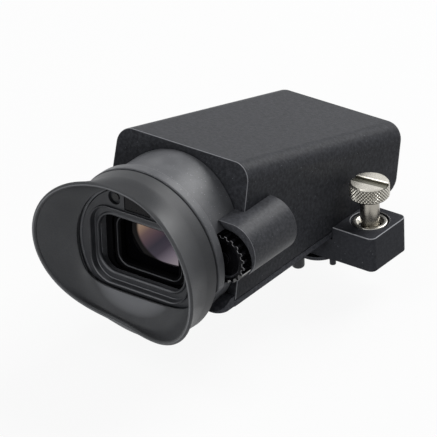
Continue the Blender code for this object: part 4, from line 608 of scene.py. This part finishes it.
plate = inMm(radius=27.6, low=89.1, high=91.5, edge=0.25, rise=0.6, hollow=(45.4, 32.6, 9), screwX=10.75,
             screwRise=21.75, recess=2.9, recessDepth=1.6, bore=1.1, sensorWidth=11.8, sensorHeight=5.6,
             sensorRise=20.9, sensorFloor=90.2, ledge=1.3)
# Window frame in section, in mm: width, height and corner radius of its outline at each level
frameRows = (
    (46.4, 33.6, 9.5, 91.3), (46.4, 33.6, 9.5, 92.05), (46.25, 33.45, 9.42, 92.35),
    (45.95, 33.15, 9.27, 92.48), (45.5, 32.7, 9.05, 92.5), (45.0, 32.2, 8.8, 92.3),
    (44.65, 31.85, 8.62, 91.8), (44.4, 31.6, 8.5, 90.4), (44.2, 31.4, 8.4, 90.05), (43.8, 31.0, 8.2, 89.9),
    (43.0, 28.0, 8.8, 89.9), (42.4, 27.2, 8.5, 89.98), (42.1, 26.9, 8.35, 90.25), (41.7, 26.5, 8.15, 90.5),
    (41.1, 25.9, 7.85, 90.6), (40.5, 25.3, 7.55, 90.52), (40.0, 24.8, 7.3, 90.2), (39.8, 24.6, 7.2, 89.8),
    (39.8, 24.6, 7.2, 89.15), (46.4, 33.6, 9.5, 89.15))
windowAxis = Matrix.Translation((0, 0, plate["rise"])) @ eyeAxis


def lofted(rows):
    shape = bmesh.new()
    rings = []
    for *size, level in rows:
        outline = oblong(*(length * mm for length in size), 12)
        rings.append([shape.verts.new((x, y, level * mm)) for x, y in outline])
    for first, second in zip(rings, rings[1:] + rings[:1]):
        for index in range(len(first)):
            after = (index + 1) % len(first)
            shape.faces.new((first[index], first[after], second[after], second[index]))
    return shape


def makePlate():
    radius, low, high, edge = plate["radius"], plate["low"], plate["high"], plate["edge"]
    profile = filleted([(0, high, 0), (radius, high, edge), (radius, low, edge), (0, low, 0)], 3)
    disc = built("eyepiecePlate", turned(profile, 160), eyeAxis)
    carved(disc, "DIFFERENCE", window(plate["hollow"], 0, far, windowAxis, 12))
    carved(disc, "UNION", built("windowFrame", lofted(frameRows), windowAxis))
    tools = []
    for x in (-plate["screwX"], plate["screwX"]):
        centre = (x, plate["screwRise"])
        tools.append(bore(plate["recess"], high - plate["recessDepth"], far, eyeAxis, 40, centre))
        tools.append(bore(plate["bore"], 0, far, eyeAxis, 24, centre))
    half, rise = plate["sensorWidth"] / 2 + gap, plate["sensorHeight"] / 2 + gap
    for inset, floor in ((0, plate["sensorFloor"]), (plate["ledge"], 0)):
        tools.append(block((-half + inset, plate["sensorRise"] - rise + inset, floor),
                           (half - inset, plate["sensorRise"] + rise - inset, far), eyeAxis))
    carved(disc, "DIFFERENCE", *tools)
    dressed(disc, plateSkin, "housing", "eyepiece_plate")


makePlate()

ring = inMm(radius=31.4, bore=29.8, lipBore=28.7, low=87.6, high=92.3, lipLow=91.3, edge=0.3, lipEdge=0.2)


def makeRing():
    low, high, edge = ring["low"], ring["high"], ring["edge"]
    profile = filleted([(ring["radius"], high, edge), (ring["radius"], low, edge), (ring["bore"], low, edge),
                        (ring["bore"], ring["lipLow"], 0), (ring["lipBore"], ring["lipLow"], ring["lipEdge"]),
                        (ring["lipBore"], high, edge)], 3, closed=True)
    collar = built("cupRing", turned(profile, 160, closed=True), eyeAxis)
    dressed(collar, plateSkin, "eyecup", "eyecup_ring")


makeRing()

cup = {**inMm(base=87.7, baseRadius=33.8, edge=0.3, tuck=0.05, tuckRise=1.5, waist=93.1, waistRadius=33.6,
              rimAt=103.8, rimRadius=35.4, oval=5.6, saddle=3.9, side=-1.3, rise=1.4, wall=2, grip=31.7,
              shelf=92.6, throat=28.6, flat=17.4, throatEdge=0.8, soft=0.2, softRise=0.12, softDrop=0.1),
       "turn": math.radians(-5.0), "lean": 0.09, "power": 8, "bend": 0.3, "flare": 1.6, "columns": 144,
       "rows": 16, "bowlRows": 12, "lipSteps": 10}


def throatRadius(rise):
    widest = cup["throat"]
    return widest / (1 + (widest * max(0, -rise) / cup["flat"]) ** cup["power"]) ** (1 / cup["power"])


def makeCup():
    shape = bmesh.new()
    columns = []
    axial = Vector((0, 0, 1))
    half, edge, soft, shelf = cup["wall"] / 2, cup["edge"], cup["soft"], cup["shelf"]
    for column in range(cup["columns"]):
        turn = 2 * math.pi * column / cup["columns"]
        outward = Vector((math.cos(turn), math.sin(turn), 0))
        oval = math.cos(2 * (turn - cup["turn"]))
        radius = cup["rimRadius"] + cup["oval"] * oval
        rim = outward * radius + Vector((cup["side"], cup["rise"], cup["rimAt"] + cup["saddle"] * oval
                                         + cup["lean"] * radius * outward.x - half))
        foot = outward * cup["waistRadius"] + axial * cup["waist"]

        def skirt(share):
            across = foot.lerp(rim, share ** cup["flare"])
            return Vector((across.x, across.y, foot.z + (rim.z - foot.z) * share))

        outer = [outward * (cup["baseRadius"] - edge) + axial * cup["base"],
                 outward * cup["baseRadius"] + axial * (cup["base"] + edge),
                 outward * (cup["baseRadius"] - cup["tuck"]) + axial * (cup["base"] + cup["tuckRise"])]
        outer += [skirt(row / cup["rows"]) for row in range(cup["rows"])]
        centre = rim - outward * half
        angles = [math.pi * step / cup["lipSteps"] for step in range(cup["lipSteps"] + 1)]
        lip = [centre + outward * half * math.cos(angle) + axial * half * math.sin(angle) for angle in angles]
        throat = outward * throatRadius(outward.y)
        lowest = throat + axial * (shelf + cup["throatEdge"])
        bend = skirt(cup["bend"]) - outward * cup["wall"]
        inner = []
        for row in range(1, cup["bowlRows"]):
            share = row / cup["bowlRows"]
            inner.append(lip[-1].lerp(bend, share).lerp(bend.lerp(lowest, share), share))
        inner += [lowest + outward * soft + axial * cup["softRise"], lowest - axial * cup["softDrop"],
                  throat + axial * (shelf + soft), throat + outward * soft + axial * shelf,
                  outward * cup["grip"] + axial * shelf, outward * cup["grip"] + axial * (cup["base"] + edge),
                  outward * (cup["grip"] + edge) + axial * cup["base"]]
        columns.append([shape.verts.new(point) for point in outer + lip + inner])
    for first, second in zip(columns, columns[1:] + columns[:1]):
        for row in range(len(first)):
            after = (row + 1) % len(first)
            shape.faces.new((first[row], second[row], second[after], first[after]))
    dressed(built("softCup", shape, eyeAxis), cupRubber, "eyecup", "eyecup")


makeCup()
print("dial, plate and eyecup built")


lens = {**inMm(outline=(29.2, 20.6, 3.1), low=76.7, thick=6.4, radius=80, blank=18.2), "steps": 12}
# The painted reflection's colours run across the glass from upper left to lower right, inside an oval glint
paintedReflection = {"from": -79.2 * mm, "to": -46.2 * mm, "x": -21.0 * mm, "z": 36.0 * mm, "halfWidth": 20.5 * mm,
           "halfHeight": 13.6 * mm, "fade": 0.94, "outside": "#14100f", "body": "#040405", "roughness": 0.03,
           "ior": 3.2, "stops": ((0.0, "#ffe9d2"), (0.12, "#f1c9ac"), (0.24, "#ac8c8c"), (0.36, "#8a717e"),
                                 (0.49, "#605a6a"), (0.64, "#746a7b"), (0.79, "#c2b4c5"), (1.0, "#fff0f8"))}


# Optical glass over a black bore, its specular tint painted as a gold, violet and pale pink reflection
def glassWithPaintedReflection():
    material, tree = newMaterial("opticalGlassPaintedReflection")
    place = addNode(tree, "ShaderNodeTexCoord").outputs["Object"]
    split = addNode(tree, "ShaderNodeSeparateXYZ", {"Vector": place})
    across = addNode(tree, "ShaderNodeMath", {0: split.outputs["X"], 1: split.outputs["Z"]},
                     operation="SUBTRACT")
    share = addNode(tree, "ShaderNodeMapRange", {"Value": across, "From Min": paintedReflection["from"],
                                                 "From Max": paintedReflection["to"]})
    ramp = addNode(tree, "ShaderNodeValToRGB", {"Fac": share})
    stops = ramp.color_ramp.elements
    while len(stops) < len(paintedReflection["stops"]):
        stops.new(1.0)
    for stop, (position, shade) in zip(stops, paintedReflection["stops"]):
        stop.position = position
        stop.color = linear(shade)
    wide, high = paintedReflection["halfWidth"], paintedReflection["halfHeight"]
    patch = addNode(tree, "ShaderNodeVectorMath", {0: place, 1: (1 / wide, 0, 1 / high),
                                                   2: (-paintedReflection["x"] / wide, 0, -paintedReflection["z"] / high)},
                    operation="MULTIPLY_ADD")
    reach = addNode(tree, "ShaderNodeVectorMath", {0: patch}, operation="LENGTH").outputs["Value"]
    edge = addNode(tree, "ShaderNodeMapRange", {"Value": reach, "From Min": paintedReflection["fade"], "From Max": 1.0})
    tint = addNode(tree, "ShaderNodeMix", {0: edge, 6: ramp, 7: linear(paintedReflection["outside"])}, data_type="RGBA")
    setInputs(tree, tree.nodes["Principled BSDF"], {
        "Specular Tint": tint.outputs[2], "Base Color": linear(paintedReflection["body"]),
        "Roughness": paintedReflection["roughness"], "IOR": paintedReflection["ior"]})
    return material


def makeLens():
    radius, low, steps = lens["radius"], lens["low"], lens["steps"]
    high = low + lens["thick"]
    turns = [math.asin(lens["blank"] / radius) * step / steps for step in range(steps + 1)]
    profile = [(radius * math.sin(turn), high - radius * (1 - math.cos(turn))) for turn in turns]
    profile += [(radius * math.sin(turn), low + radius * (1 - math.cos(turn))) for turn in reversed(turns)]
    glass = built("eyeLensGlass", turned(profile, 96), eyeAxis)
    carved(glass, "INTERSECT", window(lens["outline"], 0, far, eyeAxis))
    dressed(glass, glassWithPaintedReflection(), "lens", "eye_lens")


makeLens()

# Lens cell in section, in mm: width, height and corner radius of its outline at each level
cellRows = (
    (33.0, 24.4, 5.0, 62.0), (33.0, 24.4, 5.0, 85.2), (32.6, 24.0, 4.8, 85.4), (30.5, 21.9, 5.2, 85.4),
    (30.1, 21.5, 5.2, 85.33), (29.85, 21.25, 5.15, 85.1), (29.8, 21.2, 5.1, 84.9), (29.8, 21.2, 3.4, 66.2),
    (26.8, 18.2, 2.6, 66.2), (26.8, 18.2, 2.6, 62.0))
# The cell's inner rounding gets the paler satin finish, partly a painted highlight line: faces in this box
# that point neither sideways nor at the eye
cellHighlightBand = {**inMm(width=32, height=22), "least": 0.05, "most": 0.98}


def makeCell():
    cell = built("lensCellShell", lofted(cellRows), eyeAxis)
    dressed(cell, flockBlack, "lens", "lens_cell")
    retouched(cell, plateSkin, cellHighlightBand["width"], cellHighlightBand["height"],
              lambda level, facing: cellHighlightBand["least"] < facing < cellHighlightBand["most"])


makeCell()


# Captive thumbscrew: diamond knurl, slot and threaded shank
thumb = {**inMm(head=8, low=25.5, high=32, chamfer=0.6, capEdge=0.2, knurl=0.55, diamondRise=1.5, slot=4.4,
                slotDepth=1.1, slotEdge=0.3, shank=3.85, shankEdge=0.2, clip=12.3, groove=2.5, grooveLow=0.8,
                thread=3, threadTop=1.3, threadDepth=0.45, pitch=1, tip=0.6, taper=0.6),
         "diamonds": 36, "crestShare": 0.12, "endShare": 0.6, "levels": 36, "slotTurn": math.radians(6.2)}
# Nickel plate on the knurled head: bright crests over grooves darkened with painted shade, and painted shade
# on the slot's floor and below the head
knurledNickel = surface("knurledNickelPlate", "#bfbcb3", "#d2cfc6", 0.3, 0.35, 0.003, metallic=1.0, grooveShade={
    "root": 7.5 * mm, "crest": 7.72 * mm, "inner": 7.3 * mm, "top": 31.5 * mm, "dark": "#17150f",
    "slotFloor": thumb["high"] - thumb["slotDepth"], "slotBand": 0.3 * mm, "slotShade": "#75746a",
    "under": 25.4 * mm, "underShade": "#a29e95"})


def knurledHead():
    shape = bmesh.new()
    around, levels = thumb["diamonds"] * 6, thumb["levels"]
    low, high = thumb["low"] + thumb["chamfer"], thumb["high"] - thumb["chamfer"]

    def ringAt(height, radii):
        turns = [2 * math.pi * step / around for step in range(around)]
        return [shape.verts.new((radius * math.cos(turn), radius * math.sin(turn), height))
                for radius, turn in zip(radii, turns)]

    cap = [thumb["head"] - thumb["chamfer"] - thumb["capEdge"]] * around
    rings = [ringAt(thumb["low"], cap)]
    for level in range(levels + 1):
        height = low + (high - low) * level / levels
        radii = []
        for step in range(around):
            across, along = step * thumb["diamonds"] / around, height / thumb["diamondRise"]
            slant = 2 * max(abs((across + along) % 1.0 - 0.5), abs((across - along) % 1.0 - 0.5))
            share = max(0.0, slant - thumb["crestShare"]) / (1 - thumb["crestShare"])
            if level in (0, levels):
                share = thumb["endShare"]
            radii.append(thumb["head"] - thumb["knurl"] * share)
        rings.append(ringAt(height, radii))
    rings.append(ringAt(thumb["high"], cap))
    for lower, upper in zip(rings, rings[1:]):
        for step in range(around):
            after = (step + 1) % around
            shape.faces.new((lower[step], lower[after], upper[after], upper[step]))
    shape.faces.new(rings[0][::-1])
    shape.faces.new(rings[-1])
    return shape


def makeThumbscrew():
    head = built("thumbscrewTurned", knurledHead(), screwAxis)
    start, clipTop, clipLow = thumb["low"] + mm, thumb["clip"] + gap, thumb["clip"] - thumb["grooveLow"]
    thread, depth = thumb["thread"], thumb["threadDepth"]
    corners = [(0, start, 0), (thumb["shank"], start, 0), (thumb["shank"], clipTop, thumb["shankEdge"]),
               (thumb["groove"], clipTop, 0), (thumb["groove"], clipLow, 0), (thread, clipLow, 0)]
    height = thumb["clip"] - thumb["threadTop"]
    while height > thumb["tip"] + thumb["pitch"]:
        corners += [(thread, height, 0), (thread - depth, height - depth, 0), (thread, height - 2 * depth, 0)]
        height -= thumb["pitch"]
    corners += [(thread - thumb["taper"], thumb["tip"], 0), (0, thumb["tip"], 0)]
    carved(head, "UNION", built("shank", turned(filleted(corners, 3), 64), screwAxis))
    half, top, edge = thumb["slot"] / 2, thumb["high"], thumb["slotEdge"]
    floor = top - thumb["slotDepth"]
    slot = extruded([(-half, floor), (half, floor), (half, top - edge), (half + 2 * edge, top + edge),
                     (-half - 2 * edge, top + edge), (-half, top - edge)], -far, far)
    slot.transform(Matrix(((0, 0, 1, 0), (1, 0, 0, 0), (0, 1, 0, 0), (0, 0, 0, 1))))
    carved(head, "DIFFERENCE", built("slot", slot, screwAxis @ Matrix.Rotation(thumb["slotTurn"], 4, "Z")))
    dressed(head, knurledNickel, "screw", "thumbscrew")


eyelet = inMm(radius=6.95, mouth=5.45, bore=4.25, low=12.9, high=14.5, boreHigh=13.3, rim=0.6, mouthEdge=0.3,
              footEdge=0.1, boreEdge=0.2)


def makeEyelet():
    radius, low, high, foot = eyelet["radius"], eyelet["low"], eyelet["high"], eyelet["footEdge"]
    profile = filleted([(eyelet["mouth"], high, eyelet["mouthEdge"]), (radius, high, eyelet["rim"]),
                        (radius, low, foot), (eyelet["bore"], low, foot),
                        (eyelet["bore"], eyelet["boreHigh"], eyelet["boreEdge"])], 5, closed=True)
    washer = built("screwRing", turned(profile, 96, closed=True), screwAxis)
    dressed(washer, nickelPlate, "housing", "screw_eyelet")


makeThumbscrew()
makeEyelet()

arm = inMm(left=-1.04, right=18, half=11.65, height=14.8, corner=2.6, tongueLeft=-21, tongueHeight=9.2,
           tongueCorner=8, edge=0.45, seat=7.7, seatMouth=8, seatEdge=0.1, seatDrop=0.2, seatFloor=13.9,
           ringSeat=7.25, ringFloor=12.6, well=5.8, wellFloor=1.5, screwBore=3.4, pinX=-2.6, pinY=9.65,
           pinBore=1.6, pinDepth=4.3)


def makeArm():
    left, right, half, corner = arm["left"], arm["right"], arm["half"], arm["corner"]
    outline = filleted([(left, -half, 0), (right, -half, corner), (right, half, corner), (left, half, 0)], 10,
                       closed=True)
    clamp = built("clampArm", extruded(outline, 0, arm["height"], arm["edge"], 3))
    end, join, corner = arm["tongueLeft"], left + mm, arm["tongueCorner"]
    outline = filleted([(end, -half, corner), (join, -half, 0), (join, half, 0), (end, half, corner)], 16,
                       closed=True)
    carved(clamp, "UNION", built("tongue", extruded(outline, 0, arm["tongueHeight"])))
    seat, mouth, edge, ringSeat = arm["seat"], arm["seatMouth"], arm["seatEdge"], arm["ringSeat"]
    profile = filleted([
        (0, far, 0), (mouth, far, 0), (mouth, arm["height"] + edge, 0),
        (seat, arm["height"] - arm["seatDrop"], edge), (seat, arm["seatFloor"], 0),
        (ringSeat, arm["seatFloor"], 0), (ringSeat, arm["ringFloor"], 0), (arm["well"], arm["ringFloor"], 0),
        (arm["well"], arm["wellFloor"], 0), (arm["screwBore"], arm["wellFloor"], 0),
        (arm["screwBore"], -far, 0), (0, -far, 0)], 3)
    pins = [bore(arm["pinBore"], -far, arm["pinDepth"], centre=(arm["pinX"], side * arm["pinY"]))
            for side in (-1, 1)]
    carved(clamp, "DIFFERENCE", built("seat", turned(profile, 96), screwAxis),
           bore(cover["boltBore"], -far, far, boltAxis, 48), *pins)
    dressed(clamp, armPaint, "housing", "mount_arm")


bolt = inMm(high=16.6, shank=2.5, tipEdge=0.3, head=8.6, headTop=-0.3, headLow=-2, topEdge=0.25, lowEdge=0.4,
            slotHalf=0.8, slotTop=-1.1)


def makeBolt():
    head, top, low, half = bolt["head"], bolt["headTop"], bolt["headLow"], bolt["slotHalf"]
    profile = filleted([(0, bolt["high"], 0), (bolt["shank"], bolt["high"], bolt["tipEdge"]),
                        (bolt["shank"], top, 0), (head, top, bolt["topEdge"]), (head, low, bolt["lowEdge"]),
                        (0, low, 0)], 4)
    fastener = built("armBoltTurned", turned(profile, 96), boltAxis)
    carved(fastener, "DIFFERENCE", block((-far, -half, -far), (far, half, bolt["slotTop"]), boltAxis))
    dressed(fastener, blackSteel, "housing", "arm_bolt")


makeArm()
makeBolt()
print("lens, thumbscrew and arm built")


def makeSocket():
    form = extruded(oblong(socket["plateWidth"], socket["plateHeight"], socket["corner"]),
                    -socket["plateThick"], 0, socket["edge"], 2)
    panel = built("frontPanelPlate", form, socketAxis)
    radius, x = socket["radius"], socket["x"]
    holes = [bore(radius + gap, -far, far, socketAxis, 64, (x, 0))]
    for screwX in (-socket["screwX"], socket["screwX"]):
        holes.append(bore(socket["screwBore"], -far, far, socketAxis, 24, (screwX, 0)))
    carved(panel, "DIFFERENCE", *holes)
    dressed(panel, plateSkin, "housing", "front_panel")
    top, low = socket["flangeThick"] + gap, -socket["length"]
    floor = low + socket["floor"]
    shape = turned(filleted([
        (0, floor, 0), (socket["bore"], floor, 0), (socket["bore"], top, socket["boreEdge"]),
        (socket["flange"], top, socket["flangeEdge"]), (socket["flange"], gap, 0), (radius, gap, 0),
        (radius, low, socket["edge"]), (0, low, 0)]), 64)
    shape.transform(Matrix.Translation((x, 0, 0)))
    sleeve = built("cableSocketShell", shape, socketAxis)
    dressed(sleeve, plateSkin, "housing", "cable_socket")


makeSocket()

# CAD pieces that keep their own meshes get the finish of what they are
finishes = ((flockBlack, ("lens_retainer", "lens_spacer", "light_tunnel", "drive_nut")),
            (plateSkin, ("display_holder", "bumper_foot", "ribbon_cable", "arm_pad")),
            (dialGloss, ("display_panel", "field_lens")),
            (smokedWindow, ("eye_sensor_window",)),
            (solderMask, ("main_board", "display_board", "eye_sensor_board")),
            (sinteredBronze, ("dial_bush", "socket_pins")),
            (rolledSheet, ("heat_spreader",)),
            (oiledSteel, ("plate_screw",)),
            (blackSteel, ("panel_screw", "cover_screw", "locating_pin", "dial_screw")),
            (plainSteel, ("board_screw", "barrel_screw", "display_screw", "holder_screw", "arm_nut",
                          "dial_shaft", "wave_washer", "screw_clip")))
for material, starts in finishes:
    for name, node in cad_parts.items():
        if name.startswith(starts):
            node.data.materials.clear()
            node.data.materials.append(material)
print("CAD pieces finished")


# Camera of the photograph, as azimuth, elevation, roll, distance and the point it looks at
shot = {"azimuth": math.radians(37.54), "elevation": math.radians(28.84), "roll": math.radians(-2.10),
        "distance": 1826.2 * mm, "target": Vector((-56.48, -11.65, 1.86)) * mm, "focalPixels": 4617.3,
        "imagePixels": 437, "sensor": 36.0}


def placeCamera():
    azimuth, elevation, roll = shot["azimuth"], shot["elevation"], shot["roll"]
    back = Vector((math.sin(azimuth) * math.cos(elevation), -math.cos(azimuth) * math.cos(elevation),
                   math.sin(elevation)))
    right = Vector((math.cos(azimuth), math.sin(azimuth), 0))
    up = back.cross(right)
    rolledRight = right * math.cos(roll) + up * math.sin(roll)
    rolledUp = up * math.cos(roll) - right * math.sin(roll)
    view = bpy.data.cameras.new("photoCamera")
    view.sensor_width = shot["sensor"]
    view.lens = shot["focalPixels"] * shot["sensor"] / shot["imagePixels"]
    view.clip_end = 10.0
    camera = placed("photoCamera", view)
    turn = Matrix((rolledRight, rolledUp, back)).transposed()
    camera.matrix_world = Matrix.Translation(shot["target"] + back * shot["distance"]) @ turn.to_4x4()
    bpy.context.scene.camera = camera


# Floor and world in plain light; each lamp has its place in metres, its size and its watts
studio = {"floorSize": 3.0, "floorColour": (0.6, 0.6, 0.6, 1), "floorRoughness": 0.9, "floorWhite": 0.92,
          "worldColour": (0.93, 0.96, 1.0, 1), "worldStrength": 0.18, "aim": (-0.03, -0.03, 0.03),
          "lamps": (("backSoftbox", (0.16, 0.85, 0.8), 0.75, 17.0),
                    ("frontSoftbox", (-0.45, -0.5, 1.0), 0.7, 4.5),
                    ("lowFrontStrip", (0.1, -1.1, 0.08), 0.25, 4.2))}


def addLamp(name, place, size, power):
    light = bpy.data.lights.new(name, "AREA")
    light.size = size
    light.energy = power
    lamp = placed(name, light)
    lamp.location = place
    lamp.rotation_euler = (Vector(place) - Vector(studio["aim"])).to_track_quat("Z", "Y").to_euler()


# White to camera, mirror and glass rays only, so it adds no light to the part
def whiteForCamera(tree, lit, whiteness, output):
    path = addNode(tree, "ShaderNodeLightPath")
    seen = path.outputs["Is Camera Ray"]
    for ray in ("Is Glossy Ray", "Is Transmission Ray"):
        seen = addNode(tree, "ShaderNodeMath", {0: seen, 1: path.outputs[ray]}, operation="MAXIMUM")
    part = addNode(tree, "ShaderNodeMath", {0: seen, 1: whiteness}, operation="MULTIPLY")
    glow = addNode(tree, "ShaderNodeEmission", {"Color": (1, 1, 1, 1), "Strength": 1.0})
    mixed = addNode(tree, "ShaderNodeMixShader", {0: part, 1: lit, 2: glow})
    setInputs(tree, tree.nodes[output], {"Surface": mixed})


def makeStudio():
    # The part hangs from its arm, so the floor lies where the eyecup clears it in every turn
    low = min(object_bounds()[0][2], eyeAxis.translation.z - cup["rimRadius"] - cup["oval"] - cup["wall"])
    shape = bmesh.new()
    bmesh.ops.create_grid(shape, x_segments=2, y_segments=2, size=studio["floorSize"])
    floor = built("studioFloor", shape, Matrix.Translation((0, 0, low - mm)))
    paper, tree = newMaterial("matteWhitePaper")
    shader = tree.nodes["Principled BSDF"]
    setInputs(tree, shader, {"Base Color": studio["floorColour"], "Roughness": studio["floorRoughness"]})
    whiteForCamera(tree, shader, studio["floorWhite"], "Material Output")
    floor.data.materials.append(paper)
    world = bpy.data.worlds.new("softStudio")
    bpy.context.scene.world = world
    world.use_nodes = True
    tree = world.node_tree
    background = tree.nodes["Background"]
    setInputs(tree, background, {"Color": studio["worldColour"], "Strength": studio["worldStrength"]})
    whiteForCamera(tree, background, 1.0, "World Output")
    for lamp in studio["lamps"]:
        addLamp(*lamp)
    bpy.context.scene.view_settings.view_transform = "Standard"


placeCamera()
makeStudio()
print("camera, floor and lamps placed")
